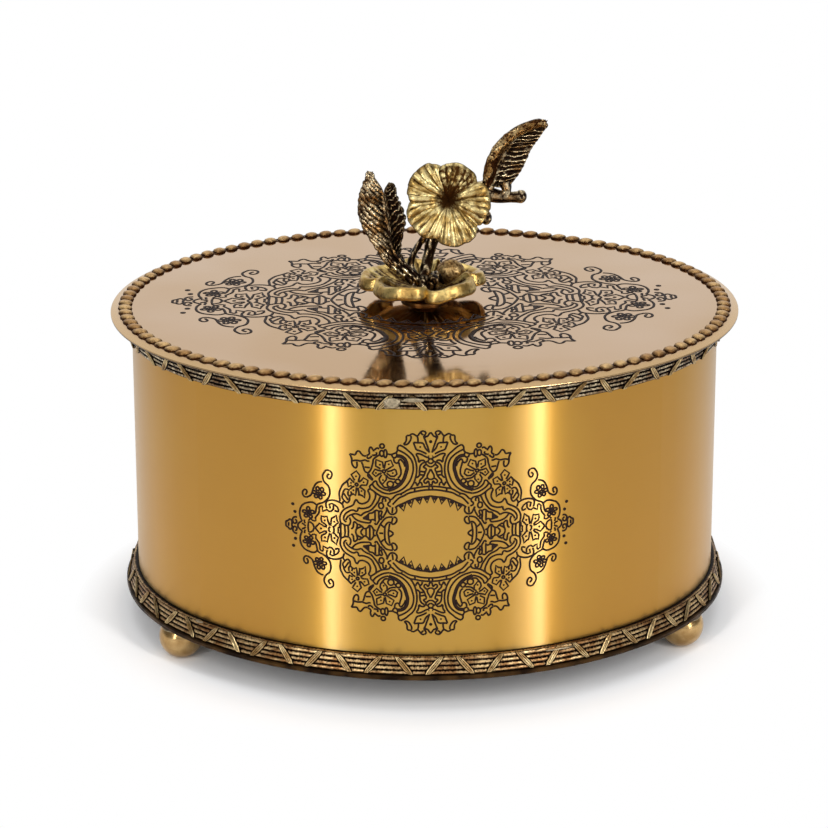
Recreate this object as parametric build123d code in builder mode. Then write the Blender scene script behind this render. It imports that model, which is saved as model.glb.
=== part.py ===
from build123d import *
import os
from math import asin, atan, atan2, cos, degrees, radians, sin, sqrt, tan

# Oval brass keepsake box with ball feet and a lift-off lid that carries a cast flower finial.
# Frame: origin on the floor under the middle of the box, +X along the oval, front towards -Y, +Z up.
# All sizes are in millimetres.

# Overall sizes
LID_LENGTH = 200.0
LID_WIDTH = 177.0
BODY_HEIGHT = 103.5        # floor to the top of the lid plate
LID_OVERHANG = 6.5         # lid edge past the wall, all round
LID_JOINT_HEIGHT = 95.3    # where the lid's rim stands on the wall
WALL_FLARE = 1.0           # the wall is this much wider at the foot, all round
OVAL_FULLNESS = 0.75       # share of the ellipse's own end curve in the radius of the end arcs

# Sheet metal
WALL_SHEET = 1.0
LID_PLATE_SHEET = 1.5
LID_EDGE_ROUND = 0.25
LID_BEVEL_WIDTH = 2.6      # the plate's top slopes down over this width at its edge
LID_BEVEL_DROP = 0.8
BASE_PLATE_SHEET = 1.5
BASE_EDGE_BREAK = 0.3      # chamfer on the base plate's edges
BASE_LEDGE = 4.0           # base plate past the foot of the wall
COLLAR_SHEET = 0.8
COLLAR_DEPTH = 6.0         # how far the lid's collar drops inside the wall
COLLAR_CLEARANCE = 0.4     # collar to wall, all round

# Cast strips with reeds and ribbon straps
STRIP_HEIGHT = 5.5
STRIP_REEDS = 4
REED_RISE = 0.55
BASE_STRIP_GAP = 1.0       # wall to the back of the base strip
BASE_STRIP_THICK = 1.7
LID_STRIP_FOOT = 0.5       # thickness at the lower edge of the lid's strip
LID_STRIP_LEAN = 1.3       # how much further out its upper edge is
STRAP_PAIRS = 29
STRAP_WIDTH = 2.0
STRAP_PROUD = 0.35
STRAP_ROOT = 0.4           # how far the straps reach into the strip behind the reeds
STRAP_SLANT = 28.0         # degrees from upright
BASE_STRAP_FIRST = 0.05    # first strap past the front's middle, as a share of the step
LID_STRAP_FIRST = 0.45

# Rope border on the lid
ROPE_BEADS = 108
ROPE_INSET = 4.6           # lid edge to the middle of the rope
ROPE_WIDTH = 3.6
ROPE_STRIP = 0.4
BEAD_HEIGHT = 1.3
BEAD_LENGTH = 5.4
BEAD_WIDTH = 2.6
BEAD_TURN = 24.0           # degrees that each bead is turned from the edge's direction
BEAD_TAPER = 28.0          # degrees that a bead's sides lean in

# Ball feet, brazed to the underside of the base plate
FOOT_DIAMETER = 14.0
FOOT_FLAT = 4.0            # flat that the foot stands on
FOOT_INSET = 7.59          # lid edge to the middle of a foot
LEFT_FOOT_TURN = 36.2      # degrees round the end of the oval from its long axis
RIGHT_FOOT_TURN = 32.8
FOOT_TOP = 10.5            # floor to the underside of the base plate

# Finial, held by one screw from below
SCREW_DIAMETER = 4.0
SCREW_LENGTH = 7.0         # under its head
SCREW_HEAD = 8.0
SCREW_HEAD_HEIGHT = 2.2
SCREW_SLOT = 1.2           # width and depth of the driver slot
SCREW_CLEARANCE = 0.25     # screw to plate and washer, all round
THREAD_CLEARANCE = 0.05    # screw to the tapped castings, all round
WASHER_DIAMETER = 14.0
WASHER_THICK = 1.0
PEDESTAL_BASE = 15.0
PEDESTAL_WAIST = 9.0
PEDESTAL_HEIGHT = 2.6
PEDESTAL_FOOT = 0.65       # height of its upright foot
PEDESTAL_NECK = 1.75       # height of its waist
BOSS_DIAMETER = 10.0
BOSS_RISE = 7.0            # lid plate to the top of the blossom's boss

# Open flowers, each a ring of shallow cups that run into one another
PETALS = 5
PETAL_SHEET = 1.5
BLOSSOM_SPREAD = 11.0      # middle of the blossom to the middle of a petal
BLOSSOM_PETAL = 19.0
BLOSSOM_DEPTH = 3.2
BLOSSOM_LEAN = 6.0         # degrees that each petal leans in
BLOSSOM_RISE = 2.8         # lid plate to the lowest point of a petal
BLOSSOM_TURN = 90.0        # direction of the first petal, seen from above
FLOWER_SPREAD = 6.9
FLOWER_PETAL = 14.0
FLOWER_DEPTH = 1.3
FLOWER_LEAN = 13.0
FLOWER_TURN = 70.0         # direction of the first petal, seen from the front
FLOWER_TILT = 20.0         # degrees that the flower looks up
FLOWER_PLACE = (7.5, -3.6, 32.6)
CALYX_DIAMETER = 7.0
CALYX_LENGTH = 4.5
CALYX_TAPER = 22.0

# Stems and twigs: centre lines as (x, y, rise above the lid plate)
STEM_RADIUS = 2.0
STEM_LINE = ((0.8, 0.6, 5.4), (0.7, 0.6, 10.2), (3.2, 0.6, 21.0), (7.2, 0.4, 31.8))
THIN_STEM_RADIUS = 1.0
THIN_STEM_LINE = ((-1.6, 1.4, 5.4), (-3.4, 1.8, 15.0), (-1.8, 1.6, 21.4), (6.0, 0.6, 30.4))
BRANCH_RADIUS = 1.7
BRANCH_LINE = ((7.6, 0.6, 32.2), (13.2, 1.6, 36.2), (20.4, 0.4, 38.4))
TWIG_RADIUS = 1.3
TWIG_KNOB = 1.9
TWIG_LINE = ((18.6, 0.6, 37.2), (25.0, 0.2, 34.2), (31.0, 0.0, 33.6))
BUD_LINE = ((10.4, 1.2, 32.6), (15.6, 1.0, 30.0), (20.2, 0.2, 28.2))

# Leaves: stations as (x, rise above the lid plate, half width), from the stalk to the tip
LEAF_THICK = 1.8
LEAF_FOLD = 0.4            # how far each edge comes forward, as a share of the half width
LEAF_TIP_THICK = 0.4       # thickness where a leaf is narrowest, as a share of the full one
HIGH_LEAF_Y = 0.4
HIGH_LEAF = (
    (18.5, 36.5, 1.4),
    (23.2, 40.4, 4.7),
    (26.4, 45.8, 6.3),
    (29.4, 51.6, 5.6),
    (33.6, 56.2, 3.6),
    (37.6, 58.9, 0.9),
)
LOW_LEAF_Y = -0.8
LOW_LEAF = (
    (-0.6, 6.0, 1.4),
    (-5.4, 9.2, 2.4),
    (-10.4, 13.8, 3.4),
    (-13.5, 19.5, 4.3),
    (-15.5, 25.0, 4.6),
    (-17.0, 31.5, 4.4),
    (-17.0, 37.0, 2.8),
    (-17.1, 42.0, 0.5),
)
BACK_LEAF_Y = 0.5
BACK_LEAF = (
    (-1.0, 6.0, 1.4),
    (-5.6, 11.0, 1.8),
    (-8.8, 17.8, 2.2),
    (-9.2, 23.0, 2.6),
    (-8.8, 28.0, 2.9),
    (-9.4, 33.0, 2.1),
    (-9.9, 37.8, 0.5),
)

# The oval is drawn with four tangent arcs that follow an ellipse of the lid's length and width.
# Every other oval runs parallel to it, so each is stated as a distance in from the lid's edge.
HALF_LENGTH = LID_LENGTH / 2
HALF_WIDTH = LID_WIDTH / 2
END_RADIUS = OVAL_FULLNESS * HALF_WIDTH**2 / HALF_LENGTH + (1 - OVAL_FULLNESS) * HALF_WIDTH
END_CENTRE = HALF_LENGTH - END_RADIUS
SIDE_RADIUS = (END_CENTRE**2 + HALF_WIDTH**2 - END_RADIUS**2) / (2 * (HALF_WIDTH - END_RADIUS))
SIDE_CENTRE = SIDE_RADIUS - HALF_WIDTH
END_SPREAD = degrees(atan(SIDE_CENTRE / END_CENTRE))

# Distances in from the lid's edge
WALL_TOP_IN = LID_OVERHANG
WALL_FOOT_IN = LID_OVERHANG - WALL_FLARE
BASE_EDGE_IN = WALL_FOOT_IN - BASE_LEDGE
COLLAR_IN = WALL_TOP_IN + WALL_SHEET + COLLAR_CLEARANCE

# Heights
PLATE_UNDERSIDE = BODY_HEIGHT - LID_PLATE_SHEET
WALL_FOOT = FOOT_TOP + BASE_PLATE_SHEET
FOOT_RADIUS = FOOT_DIAMETER / 2
FOOT_CENTRE = sqrt(FOOT_RADIUS**2 - (FOOT_FLAT / 2) ** 2)

# Feet, which keep their place under the oval's ends
FOOT_REACH = END_RADIUS - FOOT_INSET
LEFT_FOOT_X = -END_CENTRE - FOOT_REACH * cos(radians(LEFT_FOOT_TURN))
LEFT_FOOT_Y = FOOT_REACH * sin(radians(LEFT_FOOT_TURN))
RIGHT_FOOT_X = END_CENTRE + FOOT_REACH * cos(radians(RIGHT_FOOT_TURN))
RIGHT_FOOT_Y = FOOT_REACH * sin(radians(RIGHT_FOOT_TURN))

os.makedirs("parts", exist_ok=True)


def save(piece, name):
    """Label a finished piece and write it to its own file."""
    piece.part.label = name
    export_step(piece.part, f"parts/{name}.step")


def oval_arcs(inset):
    """The oval's four arcs, each as (centre, radius, start angle, sweep)."""
    side_start, side_sweep = END_SPREAD, 180 - 2 * END_SPREAD
    end_sweep = 2 * END_SPREAD
    return [
        ((END_CENTRE, 0), END_RADIUS - inset, -END_SPREAD, end_sweep),
        ((0, -SIDE_CENTRE), SIDE_RADIUS - inset, side_start, side_sweep),
        ((-END_CENTRE, 0), END_RADIUS - inset, 180 - END_SPREAD, end_sweep),
        ((0, SIDE_CENTRE), SIDE_RADIUS - inset, 180 + side_start, side_sweep),
    ]


def oval_face(inset):
    """Flat oval, this far in from the lid's edge."""
    with BuildSketch() as oval:
        with BuildLine():
            for centre, radius, start, sweep in oval_arcs(inset):
                CenterArc(centre, radius, start, sweep)
        make_face()
    return oval.sketch


def oval_ring(section):
    """Ring round the oval. Its section's corners are (distance in from the lid's edge, height)."""
    with BuildPart() as ring:
        for centre, radius, start, sweep in oval_arcs(0):
            outward = Vector(cos(radians(start)), sin(radians(start)), 0)
            with BuildSketch(Plane(centre, x_dir=outward, z_dir=outward.cross(Vector(0, 0, 1)))):
                Polygon(*[(radius - inset, height) for inset, height in section], align=None)
            revolve(axis=Axis((*centre, 0), (0, 0, 1)), revolution_arc=sweep)
    return ring


def around_oval(inset, height, count, first, lean=0.0):
    """Planes at even steps round the oval: local X runs along it, and local Z points out of it.
    The first is this share of a step past the middle of the front. Z leans down by the given
    angle, so that -90 makes the planes level."""
    arcs = oval_arcs(inset)
    lengths = [radius * radians(sweep) for centre, radius, start, sweep in arcs]
    planes = []
    for step in range(count):
        left = ((step + first) / count * sum(lengths) - lengths[-1] / 2) % sum(lengths)
        for length, (centre, radius, start, sweep) in zip(lengths, arcs):
            if left <= length:
                break
            left -= length
        turn = radians(start) + left / radius
        out = Vector(cos(turn), sin(turn), 0)
        facing = out * cos(radians(lean)) - Vector(0, 0, 1) * sin(radians(lean))
        spot = (centre[0] + radius * out.X, centre[1] + radius * out.Y, height)
        planes.append(Plane(origin=spot, x_dir=Vector(0, 0, 1).cross(out), z_dir=facing))
    return planes


def strap_corners(side):
    """Corners of a slanted strap with level ends, leaning to one side or the other of upright."""
    half_height = STRIP_HEIGHT / 2
    half_width = STRAP_WIDTH / 2
    shift = side * half_height * tan(radians(STRAP_SLANT))
    return [
        (-half_width - shift, -half_height),
        (half_width - shift, -half_height),
        (half_width + shift, half_height),
        (-half_width + shift, half_height),
    ]


def reeded_strip(bottom, back_in, foot_thick, lean, first_strap):
    """Cast strip: a plain back, reeds along the face, and pairs of slanted straps over them.
    back_in is the line that its back follows, and lean moves the upper edge out.
    first_strap is the share of a strap's step from the middle of the front."""
    pitch = STRIP_HEIGHT / STRIP_REEDS
    section = [(back_in, bottom)]
    for reed in range(STRIP_REEDS):
        for share, rise in ((0.0, 0.0), (0.5, REED_RISE)):
            height = pitch * (reed + share)
            section.append((back_in - foot_thick - lean * height / STRIP_HEIGHT - rise, bottom + height))
    section.append((back_in - foot_thick - lean, bottom + STRIP_HEIGHT))
    section.append((back_in, bottom + STRIP_HEIGHT))
    root_in = back_in - foot_thick - lean / 2 + STRAP_ROOT
    slope = degrees(atan2(lean, STRIP_HEIGHT))
    spots = around_oval(root_in, bottom + STRIP_HEIGHT / 2, 2 * STRAP_PAIRS, first_strap, slope)
    plain = oval_ring(section)
    with BuildPart() as strip:
        add(plain.part)
        for side, spot in ((1, 0), (-1, 1)):
            with BuildSketch(*spots[spot::2]):
                Polygon(*strap_corners(side), align=None)
            extrude(amount=STRAP_ROOT + REED_RISE + STRAP_PROUD)
    return strip


def petal_cups(face, spread, diameter, depth, lean, turn):
    """Ring of shallow cups of one sheet that run into one another.
    face is the flower's plane, and each cup leans in towards its middle."""
    ball = (diameter**2 / 4 + depth**2) / (2 * depth)
    reach = asin(diameter / 2 / ball)
    rim = (ball * sin(reach), ball - ball * cos(reach))
    lip = ((ball - PETAL_SHEET) * sin(reach), ball - (ball - PETAL_SHEET) * cos(reach))
    with BuildPart() as bowl:
        with BuildSketch(Plane.XZ):
            with BuildLine():
                RadiusArc((0, 0), rim, -ball)
                Polyline(rim, lip, (0, lip[1]), (0, 0))
            make_face()
        revolve(axis=Axis.Z)
    with BuildPart() as hollow:
        with BuildSketch(Plane.XZ):
            with BuildLine():
                RadiusArc((0, PETAL_SHEET), lip, PETAL_SHEET - ball)
                Polyline(lip, (lip[0], lip[1] + depth), (0, lip[1] + depth), (0, PETAL_SHEET))
            make_face()
        revolve(axis=Axis.Z)
    places = [
        face.location
        * Location((0, 0, 0), (0, 0, turn + petal * 360 / PETALS))
        * Location((spread, 0, 0), (0, -lean, 0))
        for petal in range(PETALS)
    ]
    with BuildPart() as cups:
        with Locations(*places):
            add(bowl.part)
        with Locations(*places):
            add(hollow.part, mode=Mode.SUBTRACT)
    return cups


def on_lid(place):
    """Point given as (x, y, rise above the lid plate)."""
    return (place[0], place[1], BODY_HEIGHT + place[2])


def rod(line, radius):
    """Round stem along a smooth line."""
    with BuildPart() as stem:
        with BuildLine() as path:
            Spline(*[on_lid(place) for place in line])
        with BuildSketch(Plane(path.line @ 0, z_dir=path.line % 0)):
            Circle(radius)
        sweep()
    return stem


def leaf(stations, depth_place):
    """Leaf folded along its midrib, lofted through four-cornered sections square to its line."""
    widest = max(half_width for x, rise, half_width in stations)
    last = len(stations) - 1
    with BuildPart() as blade:
        for spot, (x, rise, half_width) in enumerate(stations):
            before = stations[max(spot - 1, 0)]
            after = stations[min(spot + 1, last)]
            along = Vector(after[0] - before[0], 0, after[1] - before[1]).normalized()
            across = Vector(along.Z, 0, -along.X)
            fold = LEAF_FOLD * half_width
            half_thick = LEAF_THICK / 2 * (LEAF_TIP_THICK + (1 - LEAF_TIP_THICK) * half_width / widest)
            with BuildSketch(Plane(on_lid((x, depth_place, rise)), x_dir=across, z_dir=along)):
                Polygon(
                    (-half_width, -fold),
                    (0, -half_thick),
                    (half_width, -fold),
                    (0, half_thick),
                    align=None,
                )
        loft(ruled=True)
    return blade


# Body: a flared oval wall of sheet on a base plate with a ledge

with BuildPart() as base_plate:
    with BuildSketch(Plane.XY.offset(FOOT_TOP)):
        add(oval_face(BASE_EDGE_IN))
    extrude(amount=BASE_PLATE_SHEET)
    chamfer(base_plate.edges().filter_by(Plane.XY), length=BASE_EDGE_BREAK)
save(base_plate, "base_plate")

body_wall = oval_ring(
    [
        (WALL_FOOT_IN, WALL_FOOT),
        (WALL_TOP_IN, LID_JOINT_HEIGHT),
        (WALL_TOP_IN + WALL_SHEET, LID_JOINT_HEIGHT),
        (WALL_FOOT_IN + WALL_SHEET, WALL_FOOT),
    ]
)
save(body_wall, "body_wall")

base_band = reeded_strip(WALL_FOOT, WALL_FOOT_IN - BASE_STRIP_GAP, BASE_STRIP_THICK, 0.0, BASE_STRAP_FIRST)
save(base_band, "base_band")

# Ball feet, flat on top where they are brazed and flat below where they stand

FEET = {
    "foot_front_left": (LEFT_FOOT_X, -LEFT_FOOT_Y),
    "foot_front_right": (RIGHT_FOOT_X, -RIGHT_FOOT_Y),
    "foot_back_left": (LEFT_FOOT_X, LEFT_FOOT_Y),
    "foot_back_right": (RIGHT_FOOT_X, RIGHT_FOOT_Y),
}

for foot_name, (foot_x, foot_y) in FEET.items():
    with BuildPart() as foot:
        with Locations((foot_x, foot_y, FOOT_CENTRE)):
            Sphere(FOOT_RADIUS)
        split(bisect_by=Plane.XY, keep=Keep.TOP)
        split(bisect_by=Plane.XY.offset(FOOT_TOP), keep=Keep.BOTTOM)
    save(foot, foot_name)

# Lid: a flat plate with a rim that stands on the wall and a collar that drops inside it

edge_slope = oval_ring(
    [
        (LID_BEVEL_WIDTH, BODY_HEIGHT),
        (-LID_BEVEL_WIDTH, BODY_HEIGHT),
        (-LID_BEVEL_WIDTH, BODY_HEIGHT - 2 * LID_BEVEL_DROP),
    ]
)
with BuildPart() as lid_plate:
    with BuildSketch(Plane.XY.offset(PLATE_UNDERSIDE)):
        add(oval_face(0))
    extrude(amount=LID_PLATE_SHEET)
    add(edge_slope.part, mode=Mode.SUBTRACT)
    outline = lid_plate.edges().filter_by(lambda edge: edge.center().Z < BODY_HEIGHT - LID_BEVEL_DROP / 2)
    fillet(outline.filter_by(Plane.XY), radius=LID_EDGE_ROUND)
    with Locations((0, 0, BODY_HEIGHT)):
        Hole(SCREW_DIAMETER / 2 + SCREW_CLEARANCE, depth=LID_PLATE_SHEET)
save(lid_plate, "lid_plate")

lid_rim = oval_ring(
    [
        (WALL_TOP_IN, LID_JOINT_HEIGHT),
        (WALL_TOP_IN, PLATE_UNDERSIDE),
        (COLLAR_IN, PLATE_UNDERSIDE),
        (COLLAR_IN, LID_JOINT_HEIGHT),
    ]
)
save(lid_rim, "lid_rim")

lid_collar = oval_ring(
    [
        (COLLAR_IN, LID_JOINT_HEIGHT - COLLAR_DEPTH),
        (COLLAR_IN, PLATE_UNDERSIDE),
        (COLLAR_IN + COLLAR_SHEET, PLATE_UNDERSIDE),
        (COLLAR_IN + COLLAR_SHEET, LID_JOINT_HEIGHT - COLLAR_DEPTH),
    ]
)
save(lid_collar, "lid_collar")

lid_band = reeded_strip(LID_JOINT_HEIGHT, WALL_TOP_IN, LID_STRIP_FOOT, LID_STRIP_LEAN, LID_STRAP_FIRST)
save(lid_band, "lid_band")

# Rope border: slanted beads on a narrow strip that is soldered near the lid's edge

rope_strip = oval_ring(
    [
        (ROPE_INSET - ROPE_WIDTH / 2, BODY_HEIGHT),
        (ROPE_INSET - ROPE_WIDTH / 2, BODY_HEIGHT + ROPE_STRIP),
        (ROPE_INSET + ROPE_WIDTH / 2, BODY_HEIGHT + ROPE_STRIP),
        (ROPE_INSET + ROPE_WIDTH / 2, BODY_HEIGHT),
    ]
)
with BuildPart() as rope_border:
    add(rope_strip.part)
    with BuildSketch(*around_oval(ROPE_INSET, BODY_HEIGHT, ROPE_BEADS, 0.5, lean=-90.0)):
        Polygon(
            (-BEAD_LENGTH / 2, 0),
            (0, -BEAD_WIDTH / 2),
            (BEAD_LENGTH / 2, 0),
            (0, BEAD_WIDTH / 2),
            rotation=BEAD_TURN,
        )
    extrude(amount=BEAD_HEIGHT, taper=BEAD_TAPER)
save(rope_border, "rope_border")

# Finial: a cast spray that stands on a pedestal, with an open blossom at its foot

with BuildPart() as finial_pedestal:
    with BuildSketch(Plane.XZ):
        Polygon(
            (SCREW_DIAMETER / 2 + THREAD_CLEARANCE, BODY_HEIGHT),
            (PEDESTAL_BASE / 2, BODY_HEIGHT),
            (PEDESTAL_BASE / 2, BODY_HEIGHT + PEDESTAL_FOOT),
            (PEDESTAL_WAIST / 2, BODY_HEIGHT + PEDESTAL_NECK),
            (BOSS_DIAMETER / 2, BODY_HEIGHT + PEDESTAL_HEIGHT),
            (SCREW_DIAMETER / 2 + THREAD_CLEARANCE, BODY_HEIGHT + PEDESTAL_HEIGHT),
            align=None,
        )
    revolve(axis=Axis.Z)
save(finial_pedestal, "finial_pedestal")

cups = petal_cups(
    Plane.XY.offset(BODY_HEIGHT + BLOSSOM_RISE),
    BLOSSOM_SPREAD,
    BLOSSOM_PETAL,
    BLOSSOM_DEPTH,
    BLOSSOM_LEAN,
    BLOSSOM_TURN,
)
screw_top = PLATE_UNDERSIDE - WASHER_THICK + SCREW_LENGTH
with BuildPart() as finial_blossom:
    add(cups.part)
    with BuildSketch(Plane.XY.offset(BODY_HEIGHT + PEDESTAL_HEIGHT)):
        Circle(BOSS_DIAMETER / 2)
    extrude(amount=BOSS_RISE - PEDESTAL_HEIGHT)
    with BuildSketch(Plane.XY.offset(BODY_HEIGHT + PEDESTAL_HEIGHT)):
        Circle(SCREW_DIAMETER / 2 + THREAD_CLEARANCE)
    extrude(amount=screw_top + THREAD_CLEARANCE - BODY_HEIGHT - PEDESTAL_HEIGHT, mode=Mode.SUBTRACT)
save(finial_blossom, "finial_blossom")

front_leaf = leaf(LOW_LEAF, LOW_LEAF_Y)
back_leaf = leaf(BACK_LEAF, BACK_LEAF_Y)
with BuildPart() as finial_leaf_low:
    add(front_leaf.part)
    add(back_leaf.part)
    add(finial_blossom.part, mode=Mode.SUBTRACT)
save(finial_leaf_low, "finial_leaf_low")

tilt = radians(FLOWER_TILT)
flower_face = Plane(on_lid(FLOWER_PLACE), x_dir=(1, 0, 0), z_dir=(0, -cos(tilt), sin(tilt)))
cups = petal_cups(flower_face, FLOWER_SPREAD, FLOWER_PETAL, FLOWER_DEPTH, FLOWER_LEAN, FLOWER_TURN)
with BuildPart() as finial_flower:
    add(cups.part)
    with BuildSketch(flower_face.offset(PETAL_SHEET / 2)):
        Circle(CALYX_DIAMETER / 2)
    extrude(amount=-CALYX_LENGTH, taper=CALYX_TAPER)
save(finial_flower, "finial_flower")

thick_stem = rod(STEM_LINE, STEM_RADIUS)
thin_stem = rod(THIN_STEM_LINE, THIN_STEM_RADIUS)
with BuildPart() as finial_stem:
    add(thick_stem.part)
    add(thin_stem.part)
    for neighbour in (finial_blossom, finial_leaf_low, finial_flower):
        add(neighbour.part, mode=Mode.SUBTRACT)
save(finial_stem, "finial_stem")

branch = rod(BRANCH_LINE, BRANCH_RADIUS)
twig = rod(TWIG_LINE, TWIG_RADIUS)
bud = rod(BUD_LINE, TWIG_RADIUS)
with BuildPart() as finial_branch:
    add(branch.part)
    add(twig.part)
    add(bud.part)
    with Locations(on_lid(TWIG_LINE[-1]), on_lid(BUD_LINE[-1])):
        Sphere(TWIG_KNOB)
    for neighbour in (finial_flower, finial_stem):
        add(neighbour.part, mode=Mode.SUBTRACT)
save(finial_branch, "finial_branch")

high_leaf = leaf(HIGH_LEAF, HIGH_LEAF_Y)
with BuildPart() as finial_leaf_high:
    add(high_leaf.part)
    for neighbour in (finial_flower, finial_branch):
        add(neighbour.part, mode=Mode.SUBTRACT)
save(finial_leaf_high, "finial_leaf_high")

# Screw and washer under the lid plate

with BuildPart() as finial_washer:
    with BuildSketch(Plane.XY.offset(PLATE_UNDERSIDE)):
        Circle(WASHER_DIAMETER / 2)
        Circle(SCREW_DIAMETER / 2 + SCREW_CLEARANCE, mode=Mode.SUBTRACT)
    extrude(amount=-WASHER_THICK)
save(finial_washer, "finial_washer")

with BuildPart() as finial_screw:
    with BuildSketch(Plane.XY.offset(PLATE_UNDERSIDE - WASHER_THICK)):
        Circle(SCREW_DIAMETER / 2)
    extrude(amount=SCREW_LENGTH)
    with BuildSketch(Plane.XY.offset(PLATE_UNDERSIDE - WASHER_THICK)):
        Circle(SCREW_HEAD / 2)
    extrude(amount=-SCREW_HEAD_HEIGHT)
    with BuildSketch(Plane.XY.offset(PLATE_UNDERSIDE - WASHER_THICK - SCREW_HEAD_HEIGHT)):
        Rectangle(SCREW_HEAD, SCREW_SLOT)
    extrude(amount=SCREW_SLOT, mode=Mode.SUBTRACT)
save(finial_screw, "finial_screw")
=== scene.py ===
from math import atan, atan2, cos, exp, pi, radians, sin, sqrt

import bpy
from mathutils import Matrix, Vector, noise


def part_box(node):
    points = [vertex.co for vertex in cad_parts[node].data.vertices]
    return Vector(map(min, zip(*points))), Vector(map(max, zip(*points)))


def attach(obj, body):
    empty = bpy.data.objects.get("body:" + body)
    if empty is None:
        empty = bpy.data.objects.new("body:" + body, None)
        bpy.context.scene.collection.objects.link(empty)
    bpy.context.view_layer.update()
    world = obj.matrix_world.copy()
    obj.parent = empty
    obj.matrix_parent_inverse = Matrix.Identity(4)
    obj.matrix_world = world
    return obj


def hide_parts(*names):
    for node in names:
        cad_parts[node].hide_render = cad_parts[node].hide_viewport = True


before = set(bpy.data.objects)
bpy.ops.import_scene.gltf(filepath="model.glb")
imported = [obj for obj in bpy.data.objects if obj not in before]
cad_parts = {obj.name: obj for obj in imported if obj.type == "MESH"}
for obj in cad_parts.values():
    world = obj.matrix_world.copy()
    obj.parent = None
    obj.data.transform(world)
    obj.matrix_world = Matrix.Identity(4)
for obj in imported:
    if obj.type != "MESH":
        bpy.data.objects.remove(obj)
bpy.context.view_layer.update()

bpy.ops.object.select_all(action="DESELECT")
MM = 0.001

# Wall: one sheet of brass bent to an oval and brushed along its length, soldered to the base plate.
# The sheet is the frame's own. Its brush marks are fine level lines, so that a lamp shows in it as
# an upright streak, and its lacquer has aged in soft clouds. Towards both ends of the oval it is
# also painted darker and warmer: painted shade, where the wall turns away from the lamps.


def tint(red, green, blue):
    """Colour for a shader from the red, green and blue of a paint chart, 0 to 255."""
    return tuple((part / 255) ** 2.2 for part in (red, green, blue)) + (1.0,)


def add_node(finish, kind, **settings):
    """Node of this kind in a finish, with the given inputs set or linked."""
    node = finish.node_tree.nodes.new("ShaderNode" + kind)
    for name, value in settings.items():
        socket = node.inputs[name.replace("_", " ")]
        if isinstance(value, bpy.types.NodeSocket):
            finish.node_tree.links.new(value, socket)
        else:
            socket.default_value = value
    return node


def blend_colours(finish, share, first, second):
    """Colour between two others."""
    node = add_node(finish, "MixRGB", Fac=share, Color1=first, Color2=second)
    return node.outputs["Color"]


def spread(finish, value, low, high, start, end):
    """Value taken from one range to another, and held at its ends."""
    node = add_node(finish, "MapRange", Value=value)
    node.inputs["From Min"].default_value = low
    node.inputs["From Max"].default_value = high
    node.inputs["To Min"].default_value = start
    node.inputs["To Max"].default_value = end
    return node.outputs["Result"]


def speckle(finish, size, detail=3.0, stretch=(1.0, 1.0, 1.0)):
    """Soft noise with blotches of about this size, drawn out along an axis where stretch is small."""
    place = add_node(finish, "TexCoord")
    turned = add_node(finish, "Mapping", Vector=place.outputs["Object"], Scale=stretch)
    cloud = add_node(finish, "TexNoise", Vector=turned.outputs["Vector"], Scale=1 / size, Detail=detail)
    return cloud.outputs["Fac"]


def new_finish(name, shine):
    """Metal with nodes, and its shader. Shine is its roughness where nothing else sets it."""
    finish = bpy.data.materials.new(name)
    finish.use_nodes = True
    shader = finish.node_tree.nodes["Principled BSDF"]
    shader.inputs["Metallic"].default_value = 1.0
    shader.inputs["Roughness"].default_value = shine
    return finish, shader


def bump(finish, shader, height, depth):
    """Fine relief of this depth on a finish."""
    relief = add_node(finish, "Bump", Height=height, Strength=1.0, Distance=depth)
    finish.node_tree.links.new(relief.outputs["Normal"], shader.inputs["Normal"])


def join_up(finish, value, socket):
    """Lead a value into one of the shader's inputs."""
    finish.node_tree.links.new(value, socket)


def reckon(finish, kind, first, second=None):
    """Sum, product or size of values, by the kind that is named."""
    node = add_node(finish, "Math", Value=first)
    node.operation = kind
    if second is not None:
        join_up(finish, second, node.inputs[1])
    return node.outputs["Value"]


def two_tones(finish, shader, pattern, first, second, low=0.35, high=0.65):
    """Colour a finish by a pattern, in the first tone where it is under low and the second over high."""
    share = spread(finish, pattern, low, high, 0, 1)
    join_up(finish, blend_colours(finish, share, first, second), shader.inputs["Base Color"])


def show(finish, surface):
    """Make this shader the one that a finish shows."""
    join_up(finish, surface, finish.node_tree.nodes["Material Output"].inputs["Surface"])


def paint_node(name, finish):
    """Give one of the frame's own pieces its finish."""
    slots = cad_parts[name].material_slots
    for slot in slots:
        slot.material = finish


WALL_GOLD = tint(183, 137, 40)
WALL_WARM = tint(180, 125, 32)
BRUSH_MARK = tint(146, 102, 40)
LACQUER = tint(255, 250, 204)
LACQUER_SHARE = 0.1
wall_brass, shader = new_finish("brushed wall brass", 0.42)
clouds = speckle(wall_brass, 38 * MM)
lines = speckle(wall_brass, 9 * MM, 4.0, (1.0, 1.0, 60.0))
place = add_node(wall_brass, "TexCoord")
spot = add_node(wall_brass, "SeparateXYZ", Vector=place.outputs["Object"])
outwards = reckon(wall_brass, "ABSOLUTE", spot.outputs["X"])
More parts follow.
